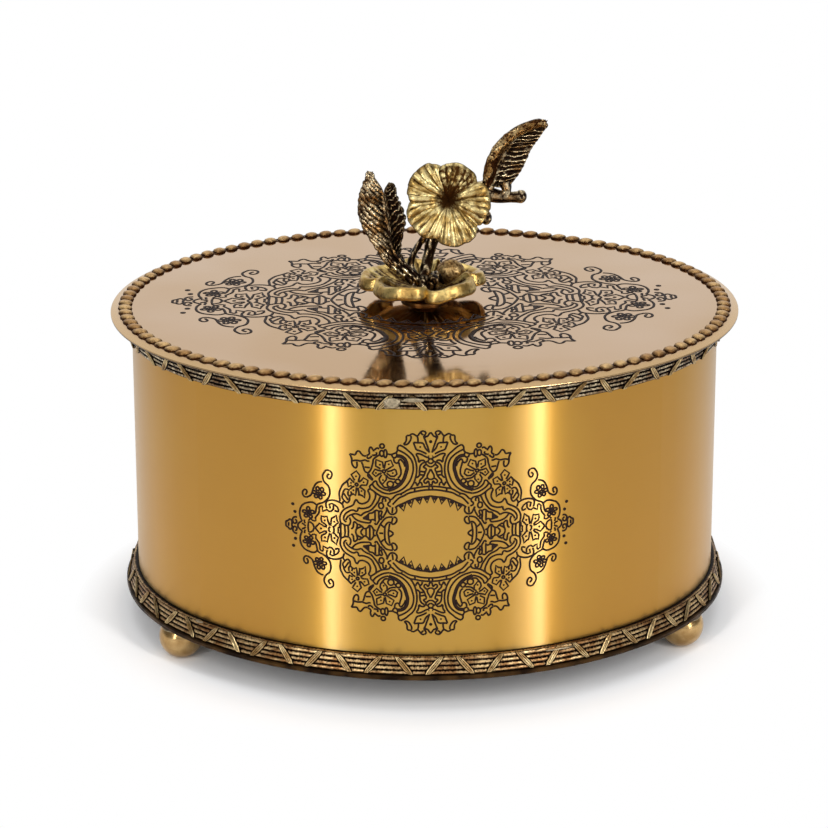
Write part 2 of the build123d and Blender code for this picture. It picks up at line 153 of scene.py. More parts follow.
# Painted shade: the wall is painted darker and warmer towards both ends of the oval, where it turns away.
shade_by_the_ends = spread(wall_brass, outwards, 0.01, 0.055, 0, 0.8)
aged_and_shaded = reckon(wall_brass, "ADD", shade_by_the_ends, spread(wall_brass, clouds, 0.35, 0.68, 0, 0.4))
tone = blend_colours(wall_brass, aged_and_shaded, WALL_GOLD, WALL_WARM)
marked = spread(wall_brass, lines, 0.3, 0.75, 0, 0.07)
join_up(wall_brass, blend_colours(wall_brass, marked, tone, BRUSH_MARK), shader.inputs["Base Color"])
join_up(wall_brass, spread(wall_brass, lines, 0.2, 0.8, 0.29, 0.32), shader.inputs["Roughness"])
shader.inputs["Anisotropic"].default_value = 0.95
surface = add_node(wall_brass, "NewGeometry")
faces_up = add_node(wall_brass, "SeparateXYZ", Vector=surface.outputs["Normal"])
upright = add_node(wall_brass, "CombineXYZ", X=faces_up.outputs["Z"], Z=1.0)
join_up(wall_brass, upright.outputs["Vector"], shader.inputs["Tangent"])
bump(wall_brass, shader, lines, 0.003 * MM)
lacquer = add_node(wall_brass, "BsdfAnisotropic", Color=LACQUER, Roughness=0.32, Anisotropy=-0.8)
join_up(wall_brass, upright.outputs["Vector"], lacquer.inputs["Tangent"])
coated = add_node(wall_brass, "MixShader", Fac=LACQUER_SHARE)
join_up(wall_brass, shader.outputs["BSDF"], coated.inputs[1])
join_up(wall_brass, lacquer.outputs["BSDF"], coated.inputs[2])
show(wall_brass, coated.outputs["Shader"])
paint_node("body_wall", wall_brass)

# Etched medallions: one arabesque of scrolls, rosettes and straps round a plain oval, bitten into the
# brass and darkened, small on the wall and nearly twice as large on the lid. It mirrors both ways, so a
# quarter is drawn, right and up from its middle, in millimetres at the wall's size.

TOP_FAN = [
    [(0, 31.9), (0.5, 31.3), (0.9, 30.7), (1.3, 30.6),
     (1.95, 30.2), (1.6, 31.2), (1.4, 31.75), (1.9, 32.3)],
    [(1.9, 32.3), (2.65, 32.2), (3.3, 31.5), (3.8, 30.85),
     (4.1, 30.8), (4.6, 31.1), (5.3, 31.4), (6.2, 30.9)],
    [(6.2, 30.9), (6.9, 30.8), (7.1, 29.5), (7.4, 28.7), (7.8, 28.2),
     (7, 28.1), (6.4, 28.6), (5.7, 30.2), (5.8, 30.8)],
    [(2.9, 31.9), (2.5, 31.3), (2.1, 31.1)],
    [(3.9, 30.7), (3.7, 29.7), (3.7, 28.9)],
    [(0.4, 25.6), (0.85, 27.3), (1.2, 28.25), (1.6, 29.5), (1.95, 30.2)],
    [(0.6, 26), (1.2, 26.5), (1.75, 27.4), (2.1, 28.3), (2.5, 28.6), (3.7, 28.65), (5, 28.8)],
    [(5, 28.8), (4.85, 28.25), (4.5, 27.3), (4.2, 26.6), (3, 26.1), (2, 25.65), (1.2, 25.2)],
]
BOW = [
    [(0, 23.85), (0.5, 23.5), (0.6, 24), (1.2, 24.2),
     (2.2, 24.75), (3.2, 25.2), (4.1, 25.2), (4.3, 24.9)],
    [(4.3, 24.9), (3.9, 24.4), (3.6, 23.6), (3.4, 22.7),
     (3, 23.1), (2.5, 23.2), (1.9, 23.1), (1.8, 22.6)],
    [(1.8, 22.6), (2.5, 22.2), (3, 21.6), (3.2, 20.7),
     (3.3, 19.6), (3.3, 18.6), (3.8, 18), (4.2, 17.8)],
    [(0.6, 23.3), (0.8, 22.9), (0.3, 22.3), (0, 22.2)],
    [(0.8, 22.9), (1.4, 22.6), (1.35, 22)],
    [(0, 21.2), (0.5, 21.3), (1, 21.7), (1.3, 21.9), (1.85, 21.5),
     (2.1, 21.2), (1.9, 20.9), (1.4, 20.7), (1.3, 20.2)],
    [(1.3, 20.2), (1.6, 19.6), (1.8, 18.9), (2.1, 18.3), (2.6, 17.6),
     (3.1, 17.1), (3.2, 16.5), (2.7, 16.1), (2.5, 15.3)],
    [(3.2, 16.4), (3.6, 15.9), (3.9, 15.4), (4.2, 15.9), (4.5, 16.5)],
    [(1.8, 19.6), (3.3, 19.8)],
    [(1.9, 18.6), (3.3, 18.7)],
    [(0.05, 20.5), (0.4, 19.7), (0.9, 18.7), (1, 17.9), (0.6, 17.4), (0, 17.2)],
    [(1, 17.7), (1.6, 17.3), (2, 16.6), (1.6, 16.1), (1.2, 16.2),
     (0.8, 16.7), (0.5, 16.3), (0.4, 15.7), (0, 15.5)],
]
OVAL_FRAME = [
    [(0, 15.1), (1.2, 15.05), (2.65, 14.9), (4.7, 14.5),
     (6.1, 14.25), (8.7, 12.7), (10, 12.3), (11.3, 11)],
    [(11.3, 11), (11.9, 10.6), (12, 10.1), (12.5, 9.6), (12.6, 9.1), (11.7, 8.5)],
    [(0, 14), (2.1, 13.9), (4.6, 13.4), (6.5, 12.9), (8, 12), (9.2, 11.4), (10.3, 10.3), (11.2, 9.2)],
    [(0.5, 15), (0.55, 14)],
    [(4.7, 14.5), (4.7, 13.5)],
    [(8.7, 12.9), (8.6, 12.2)],
    [(0, 12.05), (1.5, 11.8), (4, 11.45), (6.1, 10.7), (8, 9.7), (9.8, 8.8), (10.5, 8.2)],
]
TEETH = [
    [(0.4, 11.8), (1.05, 9.9), (1.9, 11.6)],
    [(2.6, 11.6), (3.2, 9.5), (4.3, 11.1)],
    [(5.1, 11.0), (5.75, 8.5), (6.9, 10.2)],
    [(7.3, 10.0), (7.95, 7.3), (9.3, 8.9)],
]
SCROLLS = [
    [(9.1, 27.9), (7.9, 27.3), (6.5, 26.1), (5.2, 24.8), (4.5, 23.2),
     (4.1, 20.8), (4.3, 18.5), (5.05, 16), (6.1, 14.2)],
    [(9.5, 26.3), (8.2, 25.7), (6.6, 24.5), (5.6, 23.2), (5.1, 21),
     (5.3, 19.1), (6.7, 15.8), (9.3, 13.5), (12.3, 12.5)],
    [(12.3, 12.5), (13.9, 12.8), (14.9, 13.3), (16, 14), (16.8, 14.8), (17.1, 15.4)],
    [(9.1, 27.9), (9.65, 27.2), (9.7, 26.3), (10.1, 25.5), (10.75, 25.2), (11.5, 24.9), (12.6, 25.0)],
    [(12.5, 13.6), (13.7, 13.9), (14.8, 14.5), (15.7, 15.5),
     (16.1, 16.4), (17.2, 15.4), (17.9, 14.6), (17.7, 13.9)],
    [(10.1, 25.5), (9.9, 24.6), (10.7, 23.85), (11.5, 24.9)],
    [(10.75, 23.9), (10.75, 23.2), (10.4, 22.4), (9.65, 22.3),
     (9, 23.4), (8.5, 23.1), (7.8, 22.1), (7.5, 21.2)],
    [(9.3, 22.4), (9.1, 21.5), (8.8, 20.5), (8.7, 19.4), (8.9, 18.4), (9.6, 17.6)],
    [(10.4, 16.5), (11, 16)],
    [(10.4, 17.2), (11.7, 17.3), (12.5, 17.7), (13, 18.3)],
    [(12.2, 14.6), (13, 14.5), (13.7, 14.65), (14.2, 15.3), (14.9, 16.2)],
]
FIRST_ROSETTE = [
    [(13.6, 20.4), (13.4, 21.4), (13.2, 22.5), (11.67, 23.1),
     (10.95, 21.4), (12.4, 20.4), (13.2, 19.9)],
    [(13.8, 20.6), (14.1, 22.4), (15.95, 23.1), (16.1, 22.3), (16.1, 21.1), (14.7, 20.3)],
    [(14.3, 19.6), (15.5, 19.8), (16.3, 20.1), (17.1, 18.8), (16.1, 17.8), (15.2, 18.6), (14.4, 19)],
    [(13.7, 18.7), (13, 18.2), (13, 17), (14.1, 15.6), (14.9, 16.2), (15.1, 17.2), (14.4, 18.4)],
    [(12.8, 19.5), (11.6, 19.8), (10.6, 20.3), (10.2, 20),
     (9.9, 18.8), (10.7, 18.1), (11.7, 18.1), (12.9, 19)],
]
SHOULDER = [
    [(15, 26.5), (15.7, 26.7), (16.2, 26.3), (16.7, 25.9), (16.7, 25.6)],
    [(15.9, 25.4), (15.8, 24.9), (16.3, 24.5), (17.1, 24.4)],
    [(16.9, 26.1), (17.2, 26.7), (17.5, 26.9), (17.9, 26.4), (18, 25.6), (17.9, 24.9), (18.7, 24.2)],
    [(17.2, 24.2), (17.9, 23.5), (18.4, 23.4), (18.6, 24)],
    [(18.8, 24.1), (19.6, 24.1), (20.3, 24.7), (21, 25.5),
     (21.6, 25.2), (22.1, 24.3), (22.8, 24.3), (23.7, 24.4)],
    [(23.7, 24.4), (23.3, 23.6), (23.1, 22.9), (23.1, 21.7),
     (22.8, 20.8), (22.1, 20.2), (21.7, 20.4), (21.6, 22.1)],
    [(17.9, 22.6), (18.3, 22.5), (19.2, 22.8), (19.9, 22.6),
     (20.6, 22.4), (21.2, 22.5), (22.2, 22.5), (22.9, 22.3)],
    [(15, 24.6), (16, 23.9), (16.7, 23.2), (16.9, 22.1), (17.2, 21), (17.5, 20), (18.3, 18.8)],
    [(18.3, 18.8), (19.2, 19.2), (19.6, 20.1), (19.9, 21.3), (20.2, 22.1)],
    [(17.8, 20.5), (19.35, 20.6)],
    [(18.3, 18.7), (18.4, 17.8), (17.4, 16.9), (17.1, 16.7), (17.6, 17.7), (18.2, 18.5)],
]
SECOND_ROSETTE = [
    [(21.2, 15.7), (21.1, 16.6), (20.7, 17.8), (21.8, 19.2), (23.3, 18), (22.7, 16.9), (22.3, 16.2)],
    [(21, 15.8), (20.3, 16.4), (19.7, 17.2), (18.4, 16.5),
     (18.6, 15.4), (18.9, 14.9), (20.2, 14.9), (20.8, 14.4)],
    [(22.4, 15.5), (23.2, 16.2), (23.7, 16.8), (24.5, 15.7), (24.3, 14.8), (24.2, 14.1), (23.2, 14.6)],
    [(21, 14.2), (20.4, 14), (19.7, 13.5), (19.3, 13.1),
     (19.4, 12.1), (19.4, 10.9), (20, 11.5), (21, 11.9)],
    [(21.4, 14), (21.1, 12.5), (21.1, 11.5)],
    [(21.8, 14.1), (21.9, 12.7), (22.1, 11.5), (22.7, 11.9), (23.3, 11.7)],
    [(22.4, 14.4), (23.1, 14), (23.7, 13.3)],
]
OUTER_LEAF = [
    [(23.5, 12.7), (23.3, 11.9), (23.9, 11)],
    [(24.3, 12.7), (24.3, 11.6), (24, 11.1)],
    [(23.8, 13), (25, 13.3), (25.6, 12.6), (25.9, 11.5), (26.1, 10.7), (25.7, 9.9), (25.3, 9.4)],
    [(25.6, 11.9), (24.9, 10.8), (24.3, 9.9)],
    [(23.9, 11), (23.9, 10), (24.2, 9.3), (24.7, 9), (25.3, 9.4), (25.8, 9.1), (26, 8.4)],
    [(23.7, 16.8), (24.5, 15.9), (25.9, 14.5), (26.4, 13.5), (26.9, 12), (26.8, 10.3), (26.7, 9.3)],
    [(25.7, 7.2), (26.0, 8.3), (27.2, 9.1), (28.9, 9.4),
     (29.9, 9.2), (30.6, 8.9), (30.9, 7.6), (30.6, 6.6)],
]
STRAPS = [
    [(12.0, 10.6), (12.4, 11.2), (13.6, 11.5), (14.5, 11.7), (15.9, 12.5), (16.9, 13.3), (17.7, 13.8)],
    [(17.9, 13.9), (18.4, 13.3), (18.1, 12.5), (17.9, 11.5),
     (18.1, 10.5), (18.8, 9.6), (20.9, 9.1), (21.9, 10.3)],
    [(21.9, 10.3), (22.4, 9.5), (22.8, 8.5), (24.5, 7.5), (25.7, 6.6),
     (26.7, 4.8), (26.8, 3.7), (26.6, 2.5), (26.6, 0)],
    [(16.7, 13.1), (16.3, 12.7), (16.3, 11.2), (16.8, 10),
     (17.5, 8.7), (18.5, 7.95), (20.6, 7.5), (21.3, 7.7)],
    [(21.3, 7.7), (21.8, 6.5), (22.7, 6.8), (23.5, 6.7),
     (24.3, 6.2), (25.1, 5.5), (25.7, 3.7), (24.9, 2.8)],
    [(14.5, 11.7), (14.9, 11.3), (15.3, 10.3), (16, 9.1),
     (16.8, 8), (17.7, 7.1), (19.7, 6.1), (20.6, 5.2)],
    [(20.6, 5.2), (21.2, 5.5), (22.3, 5.7), (23.2, 5.4), (24.1, 4.9), (24.8, 4.1), (25, 3.5)],
]
OVAL_SIDE = [
    [(13.3, 10.0), (13.3, 10.8), (13.9, 11.1), (14.2, 10.4), (14.2, 9.8)],
    [(10.2, 8.3), (10, 7.3), (10.4, 6.5), (11.2, 6.1), (12, 6.3), (12.5, 7.1), (13, 8.3)],
    [(11.2, 8.4), (11.3, 7.2), (11.4, 6.5)],
    [(13.1, 8.3), (12.9, 7.7), (13.1, 6.9), (13.7, 5.7), (14.1, 5.1), (14.6, 5.3)],
    [(14.6, 5.8), (14.4, 6.4), (14.4, 6.9), (14.9, 7), (15.2, 6.6)],
    [(15.3, 6.9), (15.3, 5.2), (15.2, 4.1), (15.5, 3.5), (16.2, 2.7), (16.5, 3.3)],
    [(15.3, 6.9), (16, 7.2), (16.5, 6.9), (17.2, 6.3),
     (18.1, 6.1), (18.6, 5.5), (19.3, 4.9), (20, 4.4)],
    [(20, 4.4), (19.3, 4.3), (18.5, 4.1), (17.7, 4), (17.1, 4.2), (16.5, 4.1)],
    [(16.4, 6.8), (16.4, 3.6)],
    [(18.4, 5.6), (18.4, 4.2)],
    [(17.6, 3.9), (17.9, 3.2), (18.8, 3.1), (20, 3.2), (21.2, 3.5), (22.3, 4.1), (23.3, 5.3)],
    [(11, 5.3), (10.3, 5.1), (10, 4.4), (10.2, 3.7),
     (10.8, 3.1), (11.4, 3.1), (11.3, 4.4), (11.2, 5.1)],
    [(11.2, 5.3), (12.3, 5.2), (13.2, 4.9), (14, 4.1), (14.8, 2.9), (15.3, 1.9), (15.7, 0.9), (16, 0)],
    [(14.7, 2.8), (14.1, 2.2), (13.7, 1.9)],
    [(11.6, 3.4), (12.3, 3.6), (12.9, 3.2), (13.3, 2.6), (13.5, 1.9), (13.6, 0)],
    [(12.1, 3.2), (12.2, 2.5), (12.4, 1.2), (12.5, 0)],
    [(12.2, 1), (11.5, 0.55), (11, 0)],
    [(14, 0), (15.2, 0)],
]
WAIST_ROW = [
    [(16.2, 0.7), (16.9, 1.1), (17.3, 1.8), (17.8, 2.25), (18.2, 2.2),
     (18.6, 1.6), (19.7, 1.2), (20.2, 1.8), (21.4, 2.5)],
    [(16.9, 1.1), (16.9, 0)],
    [(18, 2.1), (18, 0)],
    [(19.1, 1.2), (19.1, 0)],
    [(20.3, 1.8), (21.2, 1.4), (21.9, 0.9), (22.2, 0)],
    [(20, 1), (20.4, 0.6), (20.7, 0)],
    [(21.9, 1), (21.7, 2.4), (22.1, 2.9), (22.6, 3.1), (22.8, 2.3), (23, 1.2), (23.5, 0.8)],
    [(24, 4.4), (23.7, 3.6), (23.7, 2.8), (24.1, 2),
     (24.6, 1.8), (25.5, 1.9), (26.3, 2.3), (26.7, 2.2)],
    [(24.4, 1.7), (24.3, 0)],
    [(25.4, 1.8), (25.3, 0)],
]
SIDE_ROSETTE = [
    [(27.3, 5.7), (27.2, 6.6), (27.6, 7.4), (28.3, 7.9),
     (29.1, 8.3), (29.9, 8), (29.7, 7.2), (29.6, 6.7)],
    [(27.4, 5.8), (28.4, 6.2)],
    [(28.7, 7.8), (28.7, 6.6), (29.3, 5.9), (30, 5.7),
     (30.6, 6.2), (31.2, 5.9), (31.9, 5.5), (31.9, 7.1)],
    [(31.9, 7.1), (32.3, 7.2), (32.9, 6.7), (32.9, 5.7),
     (33.1, 4.7), (34.1, 3.3), (34, 2.3), (34.7, 2.1)],
    [(34.7, 2.1), (35.6, 2.7), (36.2, 2.0)],
    [(33.6, 7.2), (33.8, 6.2), (34, 5.2), (34.4, 4.3)],
    [(29.1, 0.9), (28.4, 1.2), (28, 1.8), (27.3, 2.4), (27.7, 3.3),
     (27.9, 4.7), (28.6, 4), (29.3, 3.6), (29.6, 1.2)],
    [(29.9, 1.2), (30.4, 2.8), (30.6, 4.1), (31.4, 3.8), (32.3, 4),
     (32.4, 2.9), (32.2, 2.1), (31.3, 1.6), (30.7, 0.9)],
    [(30.7, 0.7), (31.5, 0.75), (32.9, 1.6), (33.4, 1), (34, 0.3), (34.2, 0)],
    [(26.8, 2.2), (27, 0.9), (27.4, 0.8), (27.3, 0)],
    [(28.7, 0.9), (28.6, 0)],
    [(29.7, 0.9), (30.1, 0.4), (30.2, 0)],
    [(34.5, 0), (34.9, 1.1), (35.6, 1.6), (36.2, 1.55), (36.3, 0.5), (36.3, 0)],
    [(37.4, 2.2), (37.4, 1.6), (37.2, 1)],
    [(37, 0.2), (37.7, 0.7), (38.2, 0.9)],
]
TENDRILS = [
    [(29.8, 17.6), (30.3, 17.1), (30.4, 16.6), (29.9, 16.05),
     (29.4, 16.3), (29, 17.3), (29.1, 18.1), (29.7, 18.7)],
    [(29.7, 18.7), (30.6, 18.7), (31.2, 18), (31.7, 17),
     (31.7, 16.05), (31.1, 14.7), (30.2, 13.9), (29.8, 13)],
    [(29.8, 13), (29.7, 11.5), (29.9, 10.5), (30.4, 9.6),
     (31.4, 8.6), (32.2, 8.1), (33, 7.8), (33.6, 7.3)],
    [(31.9, 14.9), (32.8, 14.7), (33.7, 14.1), (34.2, 13.3),
     (34.6, 12.4), (34.9, 11.3), (35.3, 10.3), (36.6, 9.4)],
    [(36.6, 9.4), (37.4, 9.6), (37.8, 10.6), (37.3, 11.7), (36.9, 11.8), (36.5, 11.3), (36.9, 10.1)],
    [(33.7, 7.3), (34.5, 7.9), (35.2, 8), (36.4, 7.7), (37.3, 7.3),
     (38.1, 6.5), (38.6, 5.4), (38.7, 3.3), (38.1, 1.6)],
    [(38.1, 1.6), (38.8, 1.1), (39.3, 0.5), (39.4, 0)],
    [(39.6, 2.6), (40.4, 2.5), (40.9, 1.9), (40.9, 1.2),
     (40.4, 0.5), (39.8, 0.9), (39.9, 1.6), (40.3, 1.8)],
    [(41.2, 0), (41.2, 1.1), (41.8, 1.6), (42.3, 1.1), (42.9, 0.75), (43, 0)],
    [(42.2, 0.6), (42.2, 0)],
]
FULL_SCROLL = [
    [(9.9, 24.5), (8.9, 24.4), (8.1, 24), (7.4, 23.2), (6.9, 20.9),
     (7.2, 19.4), (8.2, 16.7), (10.1, 14.7), (12.5, 13.6)],
]
# Rings and dots: middle, half width and half height; a dot is as wide as the line it is drawn with
RINGS = [
    (9.65, 16.5, 0.7, 0.7), (11.85, 15.6, 0.9, 0.9), (13.25, 25.1, 0.45, 1.25), (14.3, 25.1, 0.6, 0.9),
    (14.2, 27.4, 0.65, 0.65), (13.67, 19.55, 0.45, 0.45), (21.75, 14.95, 0.4, 0.4), (14.6, 8.7, 0.7, 0.9),
    (14.8, 5, 0.35, 0.6), (18.9, 4.7, 0.3, 0.3), (36.1, 4.5, 0.3, 0.3), (32.9, 11.1, 0.35, 0.35),
    (32, 12.4, 0.45, 0.6), (33.3, 12.5, 0.45, 0.6), (34.3, 11.3, 0.6, 0.45), (33.8, 10.1, 0.45, 0.5),
    (32.5, 9.9, 0.45, 0.55), (31.6, 11.1, 0.6, 0.45), (36.2, 5.8, 0.45, 0.6), (37.3, 4.8, 0.6, 0.4),
    (36.9, 3.5, 0.5, 0.45), (35.5, 3.4, 0.45, 0.5), (35.0, 4.9, 0.55, 0.5), (1.1, 11.4, 0.3, 0.3),
    (3.6, 11.0, 0.3, 0.3), (6.2, 10.1, 0.3, 0.3), (8.5, 9.0, 0.3, 0.3),
]
DOTS = [
    (3.05, 27.35, 0.3), (0, 29.0, 0.5), (0.55, 24.55, 0.2), (12.27, 21.8, 0.3), (14.85, 21.55, 0.3),
    (16.05, 18.95, 0.3), (14.0, 16.8, 0.3), (11.1, 19.1, 0.3), (21.9, 17.5, 0.3), (19.7, 15.8, 0.3),
    (23.4, 15.35, 0.3), (20.35, 13, 0.3), (22.7, 13.1, 0.3), (28.5, 2.6, 0.35), (31.3, 2.7, 0.35),
    (32.5, 0, 0.35), (40.8, 6.65, 0.5), (40.2, 4.3, 0.5),
]
LINE = 0.29          # half the width of a bitten line on the wall
HEAVY = 1.9          # how many times wider the big scroll's line is
ETCH_SCALE_WALL = 1.0
ETCH_SCALE_LID = (1.876, 1.85)
ETCH_MIDDLE_WALL = (-0.64, 56.28)
ETCH_MIDDLE_LID = (0.07, 0.6)
ETCH_RELIEF = 0.04   # half the thickness of the dark layer that fills the bite
ETCH_LIFT = 0.05     # how far its middle stands off the sheet


def draw_line(drawing, points, weight, closed=False, bend="AUTO"):
    """Line through points in the drawing, smooth, or with corners where bend is VECTOR."""
    line = drawing.splines.new("BEZIER")
    line.bezier_points.add(len(points) - 1)
    line.use_cyclic_u = closed
    for knot, (across, up) in zip(line.bezier_points, points):
        knot.co = (across, up, 0)
        knot.radius = weight
        knot.handle_left_type = knot.handle_right_type = bend


def draw_ring(drawing, across, up, half_width, half_height, weight):
    """Oval line through eight points."""
    turns = [2 * pi * step / 8 for step in range(8)]
    points = [(across + half_width * cos(turn), up + half_height * sin(turn)) for turn in turns]
    draw_line(drawing, points, weight, closed=True)


def etching(name, scale, line):
    """The whole medallion as thin dark lines, flat, with its middle at the origin."""
    drawing = bpy.data.curves.new(name, "CURVE")
    drawing.dimensions = "3D"
    drawing.resolution_u = 3
    drawing.bevel_depth = line
    drawing.bevel_resolution = 0
    drawing.use_fill_caps = True
    smooth = [TOP_FAN, BOW, OVAL_FRAME, SCROLLS, SHOULDER, OUTER_LEAF, STRAPS, OVAL_SIDE, WAIST_ROW]
    smooth.append(TENDRILS)
    cornered = [TEETH, FIRST_ROSETTE, SECOND_ROSETTE, SIDE_ROSETTE]
    for motifs, bend in ((smooth, "AUTO"), (cornered, "VECTOR")):
        for motif in motifs:
            for points in motif:
                draw_line(drawing, [(x * scale[0], z * scale[1]) for x, z in points], 1.0, bend=bend)
    for points in FULL_SCROLL:
        draw_line(drawing, [(x * scale[0], z * scale[1]) for x, z in points], HEAVY)
    for across, up, half_width, half_height in RINGS:
        size = (half_width * scale[0], half_height * scale[1])
        draw_ring(drawing, across * scale[0], up * scale[1], *size, 1.0)
    for across, up, size in DOTS:
        half = size * scale[0] / 2
        draw_ring(drawing, across * scale[0], up * scale[1], half, half, half / line)
    etch = bpy.data.objects.new(name, drawing)
    bpy.context.collection.objects.link(etch)
    bpy.context.view_layer.objects.active = etch
    etch.select_set(True)
    bpy.ops.object.convert(target="MESH")
    etch = bpy.context.object
    for corner in etch.data.vertices:
        corner.co.z *= ETCH_RELIEF / line
    mirror = etch.modifiers.new("four ways", "MIRROR")
    mirror.use_axis = (True, True, False)
    mirror.use_clip = False
    mirror.use_mirror_merge = False
    bpy.ops.object.modifier_apply(modifier=mirror.name)
    etch.select_set(False)
    return etch


def set_down(etch, name, body, spread_out, finish):
    """Bend the flat etching onto its surface with spread_out, and fix it there as a finished piece."""
    for corner in etch.data.vertices:
        corner.co = spread_out(corner.co)
    bpy.ops.object.select_all(action="DESELECT")
    bpy.context.view_layer.objects.active = etch
    etch.select_set(True)
    bpy.ops.object.mode_set(mode="EDIT")
    bpy.ops.mesh.select_all(action="SELECT")
    bpy.ops.mesh.normals_make_consistent(inside=False)
    bpy.ops.object.mode_set(mode="OBJECT")
    etch.select_set(False)
    etch.name = name
    etch.data.materials.append(finish)
    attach(etch, body)


# The oval of the lid's edge: two end arcs and two side arcs that run into one another. All that runs
# round the box lies some way in from it.
lid_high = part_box("lid_plate")[1]
wall_low, wall_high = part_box("body_wall")
HALF_LENGTH = lid_high.x
HALF_WIDTH = lid_high.y
END_RADIUS = 0.75 * HALF_WIDTH**2 / HALF_LENGTH + 0.25 * HALF_WIDTH
END_CENTRE = HALF_LENGTH - END_RADIUS
SIDE_RADIUS = (END_CENTRE**2 + HALF_WIDTH**2 - END_RADIUS**2) / (2 * (HALF_WIDTH - END_RADIUS))
SIDE_CENTRE = SIDE_RADIUS - HALF_WIDTH
END_SPREAD = atan(SIDE_CENTRE / END_CENTRE)
WALL_FLARE = 1.0 * MM    # the wall is this much wider at its foot, all round
WALL_FOOT_IN = HALF_LENGTH - wall_high.x


def wall_face(across, height):
    """Y of the wall's front there."""
    inset = WALL_FOOT_IN + WALL_FLARE * (height - wall_low.z) / (wall_high.z - wall_low.z)
    return SIDE_CENTRE - sqrt((SIDE_RADIUS - inset) ** 2 - across**2)


def onto_wall(point):
    """Place on the wall's front of a point of the flat etching, in millimetres."""
    across = (point.x + ETCH_MIDDLE_WALL[0]) * MM
    height = (point.y + ETCH_MIDDLE_WALL[1]) * MM
    return Vector((across, wall_face(across, height) - (ETCH_LIFT + point.z) * MM, height))


MIDDLE_DEEPER = 0.5      # how much deeper the lid's blank middle is drawn than the wall's
MIDDLE_SPREAD = (30, 22)


def onto_lid(point):
    """Place on the lid of a point of the flat etching, in millimetres."""
    away = (point.x / MIDDLE_SPREAD[0]) ** 2 + (point.y / MIDDLE_SPREAD[1]) ** 2
    deeper = 1 + MIDDLE_DEEPER * exp(-away)
    across = (point.x + ETCH_MIDDLE_LID[0]) * MM
    back = (point.y * deeper + ETCH_MIDDLE_LID[1]) * MM
    return Vector((across, back, lid_high.z + (ETCH_LIFT + point.z) * MM))


etch_black, shader = new_finish("bitten line", 0.55)
grime = speckle(etch_black, 1.2 * MM)
two_tones(etch_black, shader, grime, tint(22, 13, 10), tint(46, 28, 20), 0, 1)
shader.inputs["Metallic"].default_value = 0.0
shader.inputs["Specular IOR Level"].default_value = 0.15
bump(etch_black, shader, grime, 0.02 * MM)
wall_etching = etching("wall_etching", (ETCH_SCALE_WALL, ETCH_SCALE_WALL), LINE)
set_down(wall_etching, "wall_etching", "box", onto_wall, etch_black)
LID_LINE = 0.44
lid_etching = etching("lid_etching", ETCH_SCALE_LID, LID_LINE)
set_down(lid_etching, "lid_etching", "lid", onto_lid, etch_black)

# Base plate, lid rim and lid collar: plain brass sheet, sawn and soldered, and left with a patchy
# stain of the heat. Both tones are painted a very dark brown, painted shade that stands for the shade
# on the base plate's edge and under it.

# Painted shade: both tones are much darker than the brass, for the shade on the plate's edge.
SHADED_PLATE_BROWN = tint(78, 58, 36)
SHADED_PLATE_DARK = tint(36, 27, 21)
shaded_plate_brass, shader = new_finish("stained and shaded sheet brass", 0.42)
stain_and_shade = speckle(shaded_plate_brass, 6 * MM, 5.0)
grain = speckle(shaded_plate_brass, 0.9 * MM)
two_tones(shaded_plate_brass, shader, stain_and_shade, SHADED_PLATE_BROWN, SHADED_PLATE_DARK, 0.35, 0.62)
join_up(shaded_plate_brass, spread(shaded_plate_brass, stain_and_shade, 0.3, 0.7, 0.34, 0.6), shader.inputs["Roughness"])
bump(shaded_plate_brass, shader, grain, 0.05 * MM)
for name in ("base_plate", "lid_rim", "lid_collar"):
    paint_node(name, shaded_plate_brass)

# Reeded strips: cast in one length, four round reeds with pairs of leaf-shaped straps laid across them
# at a slant, bent round the box and soldered. The recesses are dark and the high parts rubbed bright.

STRIP_HEIGHT = 5.5 * MM
STRIP_REEDS = 4
REED_RISE = 0.55 * MM
BASE_STRAP_PAIRS = 31
LID_STRAP_PAIRS = 29
BASE_STRAP_FIRST = 0.02      # share of a pair's step from the middle of the front to the first pair
LID_STRAP_FIRST = 0.275
STRAP_PROUD = 0.5 * MM
STRAP_SLANT = radians(38)
STRAP_FOOT = 3.7 * MM        # width at its lower end
STRAP_TIP = 3.2 * MM         # width at its upper end
STRAP_FOLDS = 12
BASE_STRIP_BACK = WALL_FOOT_IN - 0.1 * MM
BASE_STRIP_THICK = 2.6 * MM
BASE_STRIP_LEAN = -1.4 * MM  # how far its top stands out past its foot
LID_STRIP_BACK = WALL_FOOT_IN + WALL_FLARE
LID_STRIP_THICK = 0.5 * MM
LID_STRIP_LEAN = 1.3 * MM
ROUND_STEPS = (26, 30)    # steps of a spin round an end and along a side


def keep_relief(piece, height_of):
    """Note on each corner how high it stands in the relief, 0 in a recess and 1 on a ridge."""
    note = piece.data.attributes.new("relief", "FLOAT", "POINT")
    for spot, corner in zip(note.data, piece.data.vertices):
        spot.value = height_of(corner)


